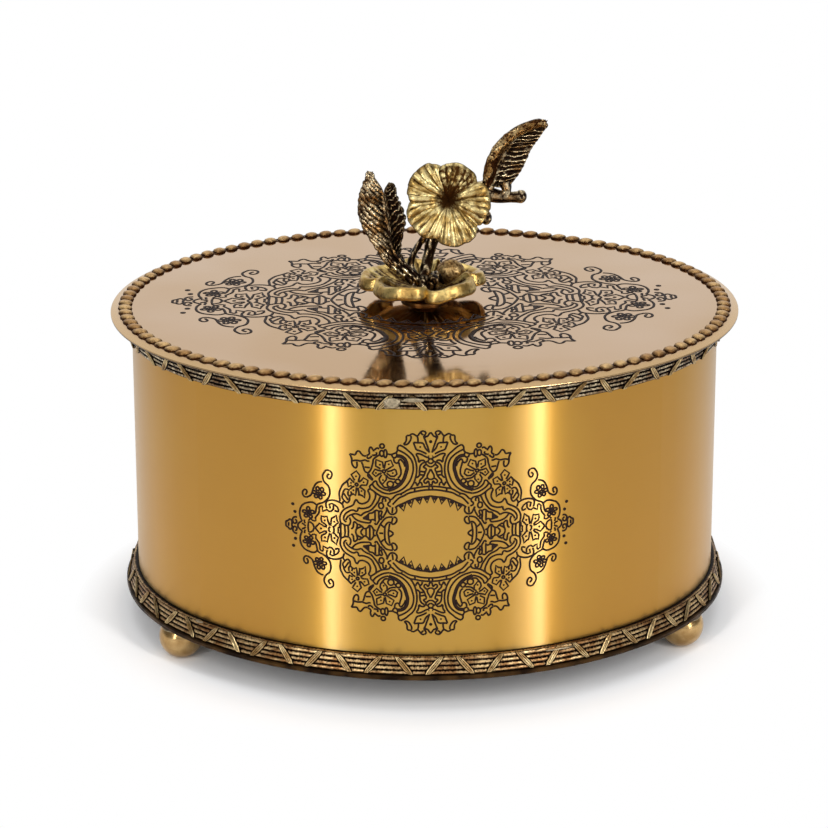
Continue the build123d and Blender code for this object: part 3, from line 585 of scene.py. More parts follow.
def spin_round(name, section):
    """Ring spun from a section about the middle of each of the oval's four arcs.
    The section's corners are (distance in from the lid's edge, height)."""
    bpy.ops.mesh.primitive_circle_add(vertices=len(section), radius=MM)
    ring = bpy.context.object
    ring.name = name
    outward = Vector((cos(END_SPREAD), -sin(END_SPREAD), 0))
    for corner, (inset, height) in zip(ring.data.vertices, section):
        corner.co = Vector((END_CENTRE, 0, height)) + outward * (END_RADIUS - inset)
    arcs = [
        (END_CENTRE, 0, 2 * END_SPREAD, ROUND_STEPS[0]),
        (0, -SIDE_CENTRE, pi - 2 * END_SPREAD, ROUND_STEPS[1]),
        (-END_CENTRE, 0, 2 * END_SPREAD, ROUND_STEPS[0]),
        (0, SIDE_CENTRE, pi - 2 * END_SPREAD, ROUND_STEPS[1]),
    ]
    bpy.ops.object.mode_set(mode="EDIT")
    bpy.ops.mesh.select_all(action="SELECT")
    for x, y, sweep, steps in arcs:
        bpy.ops.mesh.spin(steps=steps, angle=sweep, center=(x, y, 0), axis=(0, 0, -1))
    bpy.ops.mesh.select_all(action="SELECT")
    bpy.ops.mesh.remove_doubles(threshold=0.01 * MM)
    bpy.ops.mesh.normals_make_consistent(inside=False)
    bpy.ops.object.mode_set(mode="OBJECT")
    bpy.ops.object.shade_smooth_by_angle(angle=radians(50))
    ring.select_set(False)
    return ring


def oval_places(inset, height, count, first, lean=0.0):
    """Places at even steps round the oval, for pieces modelled as if at the middle of the front.
    The first is this share of a step past that middle. Lean tips their upper edge out, in radians."""
    half_side = pi / 2 - END_SPREAD
    arcs = [
        (0, SIDE_CENTRE, SIDE_RADIUS - inset, -pi / 2, half_side),
        (END_CENTRE, 0, END_RADIUS - inset, -END_SPREAD, 2 * END_SPREAD),
        (0, -SIDE_CENTRE, SIDE_RADIUS - inset, END_SPREAD, 2 * half_side),
        (-END_CENTRE, 0, END_RADIUS - inset, pi - END_SPREAD, 2 * END_SPREAD),
        (0, SIDE_CENTRE, SIDE_RADIUS - inset, pi + END_SPREAD, half_side),
    ]
    whole = sum(radius * sweep for x, y, radius, start, sweep in arcs)
    places = []
    for step in range(count):
        left = (step + first) * whole / count
        for x, y, radius, start, sweep in arcs:
            if left <= radius * sweep:
                break
            left -= radius * sweep
        turn = start + left / radius
        point = Vector((x + radius * cos(turn), y + radius * sin(turn), height))
        facing = Matrix.Rotation(turn + pi / 2, 4, "Z")
        places.append(Matrix.Translation(point) @ facing @ Matrix.Rotation(lean, 4, "X"))
    return places


def set_round(model, places, name):
    """One copy of a model at each place, joined as one piece. The model itself is removed."""
    bpy.ops.object.select_all(action="DESELECT")
    for place in places:
        copy = model.copy()
        copy.data = model.data.copy()
        copy.data.transform(place)
        bpy.context.collection.objects.link(copy)
        copy.select_set(True)
        bpy.context.view_layer.objects.active = copy
    bpy.data.objects.remove(model)
    bpy.ops.object.join()
    joined = bpy.context.object
    joined.name = name
    joined.select_set(False)
    return joined


def reed_section(bottom, back, foot_thick, lean):
    """Section of a strip: a flat back and round reeds, with narrow grooves between them."""
    pitch = STRIP_HEIGHT / STRIP_REEDS
    section = [(back, bottom)]
    for reed in range(STRIP_REEDS):
        for share in (0.04, 0.16, 0.33, 0.5, 0.67, 0.84, 0.96):
            height = pitch * (reed + share)
            rise = REED_RISE * sin(pi * share) ** 0.6
            section.append((back - foot_thick - lean * height / STRIP_HEIGHT - rise, bottom + height))
    section.append((back, bottom + STRIP_HEIGHT))
    return section


def strap_hump(across):
    """How far a strap stands out at a share across: three ridges, a low edge, and a sunk skirt."""
    if abs(across) < 0.7:
        return abs(sin(pi * (2.25 * across + 1.5)))
    return 0.1 if abs(across) < 0.9 else -1.4


def strap(side):
    """Slanted leaf-shaped strap, leaning to one side of upright."""
    bpy.ops.mesh.primitive_grid_add(x_subdivisions=STRAP_FOLDS, y_subdivisions=7, size=2)
    band = bpy.context.object
    for corner in band.data.vertices:
        across, up = corner.co.x, corner.co.y
        half = (STRAP_FOOT + (STRAP_TIP - STRAP_FOOT) * (up + 1) / 2) / 2 * (1 - 0.5 * abs(up) ** 3)
        shift = side * up * STRIP_HEIGHT / 2 * sin(STRAP_SLANT) / cos(STRAP_SLANT)
        proud = REED_RISE + STRAP_PROUD * strap_hump(across)
        corner.co = Vector((across * half + shift, -proud, up * STRIP_HEIGHT / 2 * 0.97))
    keep_relief(band, lambda corner: min(1.0, max(0.0, (-corner.co.y - REED_RISE) / STRAP_PROUD)) ** 1.5)
    bpy.ops.object.shade_smooth()
    return band


def worn_casting(name, bright, dull, recess, grit_size, shown=(0.25, 0.7), shine=(0.62, 0.3)):
    """Cast brass with a dark recess and a rubbed ridge. Bright and dull are two tones of its ridges,
    shown is where on the relief the dark ends and the rubbed metal is full, and shine is how rough
    the recess and the ridge are."""
    finish, shader = new_finish(name, shine[1])
    height_note = add_node(finish, "Attribute")
    height_note.attribute_name = "relief"
    patches = speckle(finish, 7 * grit_size, 4.0)
    grit = speckle(finish, grit_size, 4.0)
    ridge = blend_colours(finish, spread(finish, patches, 0.38, 0.6, 0, 1), bright, dull)
    worn = reckon(finish, "ADD", height_note.outputs["Fac"], spread(finish, grit, 0.3, 0.7, -0.22, 0.22))
    rubbed = spread(finish, worn, shown[0], shown[1], 0, 1)
    join_up(finish, blend_colours(finish, rubbed, recess, ridge), shader.inputs["Base Color"])
    join_up(finish, spread(finish, rubbed, 0, 1, shine[0], shine[1]), shader.inputs["Roughness"])
    bump(finish, shader, grit, 0.12 * grit_size)
    return finish


strip_brass = worn_casting(
    "cast strip brass", tint(214, 182, 132), tint(146, 106, 68), tint(22, 16, 14),
    0.6 * MM, shown=(0.64, 1.06),
)
strap_brass = worn_casting(
    "rubbed strap brass", tint(208, 182, 134), tint(150, 118, 76), tint(20, 15, 13), 0.5 * MM
)
lid_strip_brass = worn_casting(
    "dark strip brass", tint(224, 204, 168), tint(140, 110, 80), tint(20, 15, 13),
    0.6 * MM, shown=(0.76, 1.14),
)


def reeds(name, body, bottom, back, foot_thick, lean, finish, stands_for):
    """The reeded part of a strip, with its recesses and its upper edge noted. The back corner of that
    edge is noted dark: painted shade in the gap where the strip meets the sheet above or behind it.
    """
    ring = spin_round(name, reed_section(bottom, back, foot_thick, lean))

    def relief(corner):
        share = (corner.co.z - bottom) / STRIP_HEIGHT
        # Painted shade: the very back corner of the top is noted dark, for the gap against the wall or
        # plate.
        if share > 0.98:
            return 0.1 if share > 0.995 else 0.95
        return abs(sin(pi * share * STRIP_REEDS)) ** 0.5

    keep_relief(ring, relief)
    ring.data.materials.append(finish)
    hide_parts(stands_for)
    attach(ring, body)


def straps(name, body, bottom, face_in, lean, pairs, first):
    """Both sets of slanted straps on a strip. The first pair is this share of a step past the front's
    middle."""
    tip = atan(lean / STRIP_HEIGHT)
    middle = bottom + STRIP_HEIGHT / 2
    rising = set_round(strap(1), oval_places(face_in, middle, pairs, first, tip), name + "_rising")
    falling = set_round(strap(-1), oval_places(face_in, middle, pairs, first + 0.5, tip), name + "_falling")
    for piece in (rising, falling):
        piece.data.materials.append(strap_brass)
        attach(piece, body)


base_shape = (wall_low.z, BASE_STRIP_BACK, BASE_STRIP_THICK, BASE_STRIP_LEAN)
reeds("base_reeds", "box", *base_shape, strip_brass, "base_band")
base_face = BASE_STRIP_BACK - BASE_STRIP_THICK - BASE_STRIP_LEAN / 2
straps("base_straps", "box", wall_low.z, base_face, BASE_STRIP_LEAN, BASE_STRAP_PAIRS, BASE_STRAP_FIRST)
lid_shape = (wall_high.z, LID_STRIP_BACK, LID_STRIP_THICK, LID_STRIP_LEAN)
reeds("lid_reeds", "lid", *lid_shape, lid_strip_brass, "lid_band")
lid_face = LID_STRIP_BACK - LID_STRIP_THICK - LID_STRIP_LEAN / 2
straps("lid_straps", "lid", wall_high.z, lid_face, LID_STRIP_LEAN, LID_STRAP_PAIRS, LID_STRAP_FIRST)

# Solder: grey-silver lumps and runs that were left where the strips meet the sheet, and a thin
# collar of it round the top of each foot.

# Middle and half sizes of each lump, in millimetres
SOLDER_SPOTS = (
    (-12, -85.9, 98.6, 2.4, 0.4, 1.5),
    (-6.0, -86.1, 99.6, 3.4, 0.4, 0.8),
    (71.5, -52.8, 96.4, 0.7, 0.4, 1.2),
    (-71.6, -56.4, 17.4, 1.5, 0.5, 0.5),
    (38.5, -79.9, 17.5, 5.0, 0.4, 0.25),
)
solder_grey, shader = new_finish("old solder", 0.38)
crust = speckle(solder_grey, 0.8 * MM, 5.0)
two_tones(solder_grey, shader, crust, tint(60, 50, 40), tint(196, 180, 150), 0, 1)
bump(solder_grey, shader, crust, 0.25 * MM)


def solder_lump(name, body, spot):
    """Flattened lump that has run out a little unevenly. Its place and half sizes are in millimetres."""
    x, y, z, half_x, half_y, half_z = (size * MM for size in spot)
    bpy.ops.mesh.primitive_ico_sphere_add(subdivisions=3, radius=1)
    lump = bpy.context.object
    for corner in lump.data.vertices:
        swell = 1 + 0.35 * noise.noise(corner.co * 1.7 + Vector((x / MM, 0, 0)))
        corner.co = Vector((corner.co.x * half_x, corner.co.y * half_y, corner.co.z * half_z)) * swell
    turn = Matrix.Rotation(-atan2(-x * HALF_WIDTH**2, -y * HALF_LENGTH**2), 4, "Z")
    lump.data.transform(Matrix.Translation((x, y, z)) @ turn)
    bpy.ops.object.shade_smooth()
    lump.select_set(False)
    lump.name = name
    lump.data.materials.append(solder_grey)
    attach(lump, body)


for number, spot in enumerate(SOLDER_SPOTS):
    held_by = "lid" if spot[2] > wall_high.z / MM - 1 else "box"
    solder_lump(f"solder_{number + 1}", held_by, spot)

# Ball feet: turned balls of brass with a satin face, flat where they stand and where they are
# soldered under the base plate.

FOOT_GOLD = tint(192, 160, 110)
FOOT_BROWN = tint(156, 124, 80)
FOOT_SOLDER = (5.7 * MM, 0.55 * MM)    # radius of the collar of solder, and half its thickness
foot_brass, shader = new_finish("turned foot brass", 0.34)
haze = speckle(foot_brass, 4 * MM, 3.0)
rings = speckle(foot_brass, 3 * MM, 3.0, (1.0, 1.0, 14.0))
two_tones(foot_brass, shader, haze, FOOT_GOLD, FOOT_BROWN)
join_up(foot_brass, spread(foot_brass, rings, 0.3, 0.7, 0.19, 0.28), shader.inputs["Roughness"])
bump(foot_brass, shader, rings, 0.02 * MM)
for name in ("foot_front_left", "foot_front_right", "foot_back_left", "foot_back_right"):
    paint_node(name, foot_brass)
    foot_low, foot_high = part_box(name)
    middle = (foot_low + foot_high) / 2
    bpy.ops.mesh.primitive_torus_add(
        location=(middle.x, middle.y, foot_high.z - 0.2 * MM),
        major_radius=FOOT_SOLDER[0],
        minor_radius=FOOT_SOLDER[1],
        major_segments=40,
        minor_segments=8,
    )
    collar = bpy.context.object
    bpy.ops.object.transform_apply()
    for corner in collar.data.vertices:
        corner.co.z = min(corner.co.z, foot_high.z)
        corner.co.x += 0.25 * MM * noise.noise(corner.co / (3 * MM))
    bpy.ops.object.shade_smooth()
    collar.select_set(False)
    collar.name = "solder_" + name
    collar.data.materials.append(solder_grey)
    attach(collar, "box")

# Lid plate: flat brass sheet, polished to a mirror of a rosier colour than the wall. Its edge slopes
# down and is painted a lighter gold, and below that edge and underneath it is painted dark.

LID_ROSE = tint(192, 160, 126)
LID_TAN = tint(184, 147, 102)
EDGE_GOLD = tint(202, 168, 122)
EDGE_DARK_UNDER = tint(64, 48, 36)
lid_brass, shader = new_finish("polished lid brass", 0.1)
smears = speckle(lid_brass, 55 * MM, 2.0)
wipes = speckle(lid_brass, 14 * MM, 4.0, (1.0, 9.0, 1.0))
place = add_node(lid_brass, "TexCoord")
spot = add_node(lid_brass, "SeparateXYZ", Vector=place.outputs["Object"])
# The sloping edge is painted a lighter gold, and rougher.
edge = spread(lid_brass, spot.outputs["Z"], lid_high.z - 0.3 * MM, lid_high.z - 0.02 * MM, 1, 0)
face = blend_colours(lid_brass, spread(lid_brass, smears, 0.36, 0.64, 0, 1), LID_ROSE, LID_TAN)
rim = blend_colours(lid_brass, edge, face, EDGE_GOLD)
# Below the edge and underneath, the plate is painted dark.
dark_under = spread(lid_brass, spot.outputs["Z"], lid_high.z - 1.15 * MM, lid_high.z - 0.95 * MM, 1, 0)
join_up(lid_brass, blend_colours(lid_brass, dark_under, rim, EDGE_DARK_UNDER), shader.inputs["Base Color"])
fine = spread(lid_brass, wipes, 0.3, 0.7, 0.05, 0.11)
rougher = add_node(lid_brass, "MapRange", Value=edge)
join_up(lid_brass, fine, rougher.inputs["To Min"])
rougher.inputs["To Max"].default_value = 0.26
join_up(lid_brass, rougher.outputs["Result"], shader.inputs["Roughness"])
bump(lid_brass, shader, wipes, 0.0015 * MM)
paint_node("lid_plate", lid_brass)

# Rope border: a narrow brass strip with slanted oval beads struck on it, bent to the oval and soldered
# flat near the lid's edge. The strip between the beads and the beads' low sides are painted in the
# dark recess tone: painted shade.

ROPE_INSET = 4.6 * MM
ROPE_WIDTH = 3.4 * MM
ROPE_STRIP = 0.2 * MM
ROPE_BEADS = 108
BEAD_LENGTH = 5.7 * MM
BEAD_WIDTH = 4.5 * MM
BEAD_HEIGHT = 1.2 * MM
BEAD_TURN = radians(38)
rope_brass = worn_casting(
    "struck rope brass", tint(214, 178, 124), tint(174, 134, 86), tint(70, 45, 28),
    1.2 * MM, shown=(0.3, 0.95), shine=(0.6, 0.46),
)
rope_strip = spin_round(
    "rope_strip",
    [
        (ROPE_INSET - ROPE_WIDTH / 2, lid_high.z),
        (ROPE_INSET - ROPE_WIDTH / 2 + ROPE_STRIP / 2, lid_high.z + ROPE_STRIP / 2),
        (ROPE_INSET + ROPE_WIDTH / 2 - ROPE_STRIP / 2, lid_high.z + ROPE_STRIP / 2),
        (ROPE_INSET + ROPE_WIDTH / 2, lid_high.z),
    ],
)
# Painted shade: the strip between the beads is noted low, so it takes the dark recess tone.
keep_relief(rope_strip, lambda corner: 0.25)

bpy.ops.mesh.primitive_uv_sphere_add(segments=12, ring_count=6, radius=1)
bead = bpy.context.object
for corner in bead.data.vertices:
    corner.co.y *= 1 - 0.3 * corner.co.x**2
    corner.co.z = max(corner.co.z, 0) ** 0.8
# Painted shade: each bead is noted by its height, so its low sides take the dark recess tone.
keep_relief(bead, lambda corner: corner.co.z)
bead_size = Matrix.Diagonal((BEAD_LENGTH / 2, BEAD_WIDTH / 2, BEAD_HEIGHT, 1))
bead.data.transform(Matrix.Rotation(BEAD_TURN, 4, "Z") @ bead_size)
bpy.ops.object.shade_smooth()
rope_beads = set_round(bead, oval_places(ROPE_INSET, lid_high.z, ROPE_BEADS, 0.3), "rope_beads")
for piece in (rope_strip, rope_beads):
    piece.data.materials.append(rope_brass)
    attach(piece, "lid")
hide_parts("rope_border")

# Blossom and pedestal: a turned foot, and on it one casting of five cupped petals with combed
# hollows and thick rims. The rims are rubbed to a bright gold, and the hollows keep their dark stain.
# The petals' undersides are painted in the bright rim colour: painted light, caught from the lid below.


def on_lid(x, y, rise):
    """Point over the lid, from millimetres and the rise above its plate."""
    return Vector((x * MM, y * MM, lid_high.z + rise * MM))


def pull_sheet(name, across, along, place, thickness, finish):
    """Sheet pulled from a grid and thickened. Place gives a point and its relief for a share
    across, from -1 to 1, and a share along, from 0 to 1."""
    bpy.ops.mesh.primitive_grid_add(x_subdivisions=across, y_subdivisions=along, size=2)
    piece = bpy.context.object
    heights = []
    for corner in piece.data.vertices:
        corner.co, height = place(corner.co.x, (corner.co.y + 1) / 2)
        heights.append(height)
    note = piece.data.attributes.new("relief", "FLOAT", "POINT")
    note.data.foreach_set("value", heights)
    thicker = piece.modifiers.new("thickness", "SOLIDIFY")
    thicker.thickness = thickness
    thicker.offset = -1
    bpy.ops.object.modifier_apply(modifier=thicker.name)
    softer = piece.modifiers.new("soft edges", "SUBSURF")
    softer.levels = softer.render_levels = 1
    bpy.ops.object.modifier_apply(modifier=softer.name)
    bpy.ops.object.shade_smooth()
    piece.select_set(False)
    piece.name = name
    piece.data.materials.append(finish)
    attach(piece, "lid")
    return piece


pedestal_brown, shader = new_finish("dark turned brass", 0.4)
shade = speckle(pedestal_brown, 2.5 * MM, 4.0)
two_tones(pedestal_brown, shader, shade, tint(112, 80, 48), tint(66, 46, 30))
bump(pedestal_brown, shader, shade, 0.05 * MM)
paint_node("finial_pedestal", pedestal_brown)

BLOSSOM_FLOOR = 2.9
BLOSSOM_BAND = 2.7       # height of the rims' outer face
BLOSSOM_SLOPE = 0.9      # how far that face leans out
BLOSSOM_RIM = 0.6        # share along a petal at which its rim begins
BLOSSOM_FACE = 0.68      # share at which the rim turns down to its outer face
BLOSSOM_TUCK = 0.9       # share at which its edge is tucked under
# Petals: direction, half the spread in degrees, reach, how high the rim stands over the floor, and
# how much higher its far end is than its near one
BLOSSOM_PETALS = (
    (-127, 37, 18.9, 4.9, 0.2),
    (-53, 37, 18.6, 5.2, 1.2),
    (16, 35, 19.6, 5.0, -0.8),
    (94, 27, 16.5, 5.6, 0),
    (164, 35, 20.4, 4.8, 0.2),
)


def blossom_petal(turn, half_spread, reach, cup, tilt, seed):
    """Place on one petal of the blossom, which faces up. Along it come its combed hollow, its rim, the
    rim's outer face and the edge that is tucked under."""

    def place(v, u):
        angle = radians(turn + v * half_spread)
        edge = reach * (1 - 0.05 * v * v - 0.17 * abs(v) ** 6) * (1 + 0.015 * sin(8 * angle + seed))
        share = 0.12 + 0.88 * min(u / BLOSSOM_RIM, 1)
        over = min(max(u - BLOSSOM_RIM, 0) / 0.08, 1)
        down = min(max(u - BLOSSOM_FACE, 0) / 0.22, 1)
        under = max(u - BLOSSOM_TUCK, 0) / 0.1
        out = (edge - BLOSSOM_SLOPE - 0.5) * share + 0.5 * over + BLOSSOM_SLOPE * down - 1.2 * under
        comb = 0.5 + 0.5 * cos(pi * 6 * v + 1.2 * noise.noise(Vector((3 * v, 3 * u, seed))))
        grain = noise.noise(Vector((9 * v, 9 * u, seed)))
        rise = BLOSSOM_FLOOR + cup * share**2.6 * (1 + 0.1 * sin(4 * v + seed))
        rise += (0.7 * v**4 + tilt * v) * share
        rise += (0.9 * (comb - 0.5) * (1 - min(u / BLOSSOM_RIM, 1) ** 8) + 0.25 * grain) * share
        rise -= BLOSSOM_BAND * down + 0.5 * under
        relief = 0.18 + 0.5 * comb * share + 0.35 * grain
        if u > BLOSSOM_RIM - 0.04:
            relief = 0.85 + 0.35 * grain - 0.35 * down
        return on_lid(out * cos(angle), out * sin(angle), rise), relief

    return place


blossom_brass = worn_casting(
    "rubbed blossom brass with painted light", tint(222, 196, 126), tint(174, 140, 80), tint(58, 38, 22),
    0.9 * MM, shown=(0.2, 0.8), shine=(0.5, 0.3),
)
for number, petal_shape in enumerate(BLOSSOM_PETALS):
    petal_place = blossom_petal(*petal_shape, 2.0 * number)
    petal = pull_sheet(f"blossom_petal_{number + 1}", 34, 40, petal_place, 0.7 * MM, blossom_brass)
    # Painted light: the undersides, which face the lid in shade, take the bright ridge colour.
    for corner in petal.data.vertices:
        if corner.normal.z < -0.2:
            petal.data.attributes["relief"].data[corner.index].value = 1.0

mound_brass = worn_casting(
    "grained mound brass", tint(190, 160, 110), tint(150, 118, 74), tint(84, 60, 36),
    0.4 * MM, shown=(0.1, 0.7), shine=(0.6, 0.4),
)


def cast_lump(name, middle, half_sizes, roughness, finish, grain=1.2):
    """Rounded lump of the casting with a knobbly surface. Sizes and grain are in millimetres."""
    bpy.ops.mesh.primitive_ico_sphere_add(subdivisions=4, radius=1)
    lump = bpy.context.object
    note = lump.data.attributes.new("relief", "FLOAT", "POINT")
    for corner in lump.data.vertices:
        shape = Vector([part * half for part, half in zip(corner.co, half_sizes)])
        knob = noise.noise(shape / grain)
        note.data[corner.index].value = min(1.0, max(0.0, 0.5 + 1.1 * knob))
        corner.co = on_lid(*middle) + shape * (1 + roughness * knob) * MM
    bpy.ops.object.shade_smooth()
    lump.select_set(False)
    lump.name = name
    lump.data.materials.append(finish)
    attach(lump, "lid")
    return lump


cast_lump("blossom_mound", (8.6, 7.2, 6.8), (4.6, 4.0, 4.4), 0.08, mound_brass, 0.7)
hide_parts("finial_blossom")

# Leaves: each a folded casting with a herringbone of veins. The low one is a pair of halves with a
# notch between their tips; the high one has a smooth thick edge on its left. Dark, with rubbed veins;
# inside the high leaf's thick edge the dark is painted shade.

cast_brass = worn_casting(
    "dark cast brass", tint(228, 208, 168), tint(136, 104, 66), tint(36, 26, 20),
    0.5 * MM, shown=(0.42, 1.02), shine=(0.45, 0.22),
)
edge_brass = worn_casting(
    "rubbed leaf edge and painted shade", tint(196, 170, 122), tint(132, 100, 58), tint(50, 30, 17),
    0.6 * MM, shown=(0.5, 0.9), shine=(0.4, 0.24),
)


def on_line(points, share):
    """Point on a smooth line through these points, at a share of the way."""
    spot = share * (len(points) - 1)
    first = min(int(spot), len(points) - 2)
    rest = spot - first
    before = Vector(points[max(first - 1, 0)])
    start = Vector(points[first])
    end = Vector(points[first + 1])
    after = Vector(points[min(first + 2, len(points) - 1)])
    bend = 2 * before - 5 * start + 4 * end - after
    twist = 3 * (start - end) + after - before
    return (2 * start + (end - before) * rest + bend * rest**2 + twist * rest**3) / 2


def leaf_half(inner, outer, veins, vein_depth, belly, lean, rim, sharp, stain_and_shade):
    """Place on half a leaf, between its midrib and its outer edge, which are lines in millimetres
    over the lid. Belly is how far it bulges to the front, lean how far its veins sweep up, rim the
    share across at which its rubbed edge begins, sharp how narrow its veins show, and stain how
    light it is painted between them, which where it is set low inside a thick edge is painted shade."""

    def place(v, u):
        share = (v + 1) / 2
        rib = on_line(inner, u)
        edge = on_line(outer, u)
        flat = rib + (edge - rib) * share
        wander = noise.noise(Vector((3 * share, 9 * u, veins)))
        wander += 0.5 * noise.noise(Vector((8 * share, 24 * u, 2)))
        wave = 0.5 + 0.5 * cos(2 * pi * (veins * (u - lean * share) + 0.42 * wander))
        rough = noise.noise(Vector((7 * share, 44 * (u - lean * share), 5)))
        inside = min(1, 6 * (1 - share), max(0, 10 * share - 1.2))
        flat.y -= belly * sin(pi * share) + (vein_depth * (wave**2 - 0.5) + 0.3 * rough) * inside
        flat.y -= 0.5 * max(0, 1 - share / 0.14)
        relief = stain_and_shade + 0.85 * wave**sharp + 0.55 * rough
        if share > rim or share < 0.12:
            relief = 0.55 + 0.5 * rough
        return on_lid(*flat), relief

    return place


SHARED_RIB = [(-6.8, 0.4, 9.8), (-9.7, 0.9, 14.3), (-10.6, 1.2, 18.2), (-11.1, 1.3, 22.1),
              (-11.7, 1.4, 26.1), (-12.3, 1.4, 30), (-12.8, 1.2, 33.6)]
LOW_RIB = SHARED_RIB + [(-13.4, 0.6, 36.7), (-15.2, 0, 39.8), (-16.6, -0.8, 42.3)]
LOW_EDGE = [(-7.5, -1.8, 8.1), (-12.6, -2.6, 13.7), (-15.8, -3, 18), (-18.3, -3, 22.1),
            (-20.1, -2.8, 25.6), (-21.2, -2.6, 29.5), (-21.1, -2.4, 32.7), (-20.5, -2.1, 36.2),
            (-19, -1.6, 39.6), (-17.3, -1, 42.6)]
BACK_RIB = SHARED_RIB + [(-12.4, 0.9, 36), (-10.4, 0.6, 38)]
BACK_EDGE = [(-5.6, 0.8, 10.3), (-7.5, 0.4, 14.4), (-7.6, -0.2, 17.6), (-7.2, -0.8, 21), (-6.3, -1, 24.7),
             (-6.3, -0.9, 27.9), (-7.4, -0.6, 30.8), (-8.7, -0.2, 34), (-9.7, 0.4, 37.7)]
HIGH_RIB = [(20.7, 0.6, 36.7), (22, 0.6, 40), (22.9, 0.6, 43.2), (23.9, 0.6, 46.1), (25.3, 0.6, 49),
            (27.2, 0.5, 51.5), (29.7, 0.4, 53.8), (35.2, 0, 56.7), (38.0, -0.4, 57.1)]
HIGH_LEFT = [(18.4, -0.8, 37.1), (18.7, -1.2, 41.7), (19.6, -1.4, 46), (20.8, -1.4, 49.2),
             (23, -1.4, 52.3), (26.4, -1.3, 55.3), (30.1, -1.2, 57.5), (35.6, -1, 59.1), (37.8, -0.5, 57.7)]
HIGH_RIGHT = [(26.7, -0.4, 36.9), (28.8, -1, 39.8), (30.6, -1.2, 42.6), (31.9, -1.3, 45.5),
              (33.1, -1.3, 48.4), (34.6, -1.2, 50.9), (36, -1.1, 52.8), (37.6, -0.8, 55.3),
              (38.0, -0.5, 56.7)]
low_front_shape = leaf_half(
    LOW_RIB, LOW_EDGE, veins=15, vein_depth=0.8, belly=0.9, lean=0.3, rim=0.93, sharp=4, stain_and_shade=0.1
)
low_back_shape = leaf_half(
    BACK_RIB, BACK_EDGE, veins=12, vein_depth=0.8, belly=0.3, lean=0.25, rim=0.9, sharp=4, stain_and_shade=0.08
)
high_right_shape = leaf_half(
    HIGH_RIB, HIGH_RIGHT, veins=15, vein_depth=0.7, belly=0.6, lean=0.06, rim=0.93, sharp=2, stain_and_shade=0.2
)
# Painted shade: the left half is painted dark inside its rubbed edge, for the shade under that edge.
high_left_shape = leaf_half(
    HIGH_RIB, HIGH_LEFT, veins=0.8, vein_depth=0.5, belly=0.7, lean=-1.2, rim=0.8, sharp=3, stain_and_shade=0.02
)
low_front = pull_sheet("low_leaf_front", 22, 110, low_front_shape, 1.1 * MM, cast_brass)
low_back = pull_sheet("low_leaf_back", 18, 100, low_back_shape, 1.1 * MM, cast_brass)
high_right = pull_sheet("high_leaf_right", 28, 110, high_right_shape, 1.1 * MM, cast_brass)
high_left = pull_sheet("high_leaf_left", 20, 70, high_left_shape, 1.3 * MM, edge_brass)
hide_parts("finial_leaf_low")
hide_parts("finial_leaf_high")

# Stems, branch, twig and bud: round rods of the casting with ragged bark, from the knot in the
# blossom up to the flower and the high leaf.


def rod(name, points, widths, ragged=0.45, lines=(2.6, 2.6, 0.5), worn=0.45):
    """Bark-covered rod through points over the lid, with its half widths in millimetres.
    Ragged is how far its bark stands out, lines how close its grooves lie along each axis, and
    worn how much of it is rubbed light."""
    core = bpy.data.curves.new(name, "CURVE")
    core.dimensions = "3D"
    core.resolution_u = 14
    core.bevel_depth = MM
    core.bevel_resolution = 5
    core.use_fill_caps = True
    line = core.splines.new("BEZIER")
    line.bezier_points.add(len(points) - 1)
    for knot, place, width in zip(line.bezier_points, points, widths):
        knot.co = on_lid(*place)
        knot.radius = width
        knot.handle_left_type = knot.handle_right_type = "AUTO"
    stem = bpy.data.objects.new(name, core)
    bpy.context.collection.objects.link(stem)
    bpy.context.view_layer.objects.active = stem
    stem.select_set(True)
    bpy.ops.object.convert(target="MESH")
    stem = bpy.context.object
    note = stem.data.attributes.new("relief", "FLOAT", "POINT")
    normals = [Vector(corner.normal) for corner in stem.data.vertices]
    for corner, normal in zip(stem.data.vertices, normals):
        bark = noise.noise(Vector([part * close / (2 * MM) for part, close in zip(corner.co, lines)]))
        note.data[corner.index].value = min(1.0, max(0.0, worn + 1.3 * bark))
        corner.co += normal * bark * ragged * MM
    bpy.ops.object.shade_smooth()
    stem.select_set(False)
    stem.name = name
    stem.data.materials.append(cast_brass)
    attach(stem, "lid")
    return stem


thick_stem = rod(
    "thick_stem",
    [(-0.2, 0, 5.9), (0.2, 0.2, 9.1), (0.8, 0.4, 12), (1.3, 0.4, 15),
     (2.1, 0.2, 18), (3.5, 0.2, 22), (6.2, 0.4, 28)],
    [2.6, 2.0, 1.8, 1.7, 1.8, 2.0, 2.2],
)
rod(
    "thin_stem",
    [(-1.8, 0.6, 6), (-3.6, 1, 8.6), (-4.4, 1.4, 11.5), (-3.6, 1.4, 14.4),
     (-2, 1.2, 17.5), (0.2, 0.6, 21), (3, 0.3, 26)],
    [1.5, 1.3, 1.1, 1.0, 1.0, 1.1, 1.3],
)
STALK_RIDGES = (
    [(-14.8, -2.6, 16.7), (-11.7, -2.8, 13), (-8.2, -2.6, 10.1), (-3.7, -2, 6.3)],
    [(-12.9, -2.2, 17.2), (-9.8, -2.6, 13.4), (-6.3, -2.6, 10.4), (-2.1, -1.8, 6.2)],
    [(-10.7, -0.6, 17.4), (-8.1, -1.4, 13.9), (-5, -1.6, 10.8), (-1.1, -1.2, 6.7)],
)
for number, ridge in enumerate(STALK_RIDGES):
    rod(f"leaf_stalk_{number + 1}", ridge, [0.5, 0.8, 0.9, 1.1], 0.25)
branch = rod(
    "branch",
    [(8.7, 0.2, 33.0), (12.5, 0.4, 34.9), (16.3, 0.6, 36.4), (19.4, 0.4, 36.8), (20.7, 0.4, 38.7)],
    [2.0, 1.8, 2.0, 2.4, 2.0],
    ragged=0.3, lines=(0.5, 2.6, 2.6), worn=0.7,
)
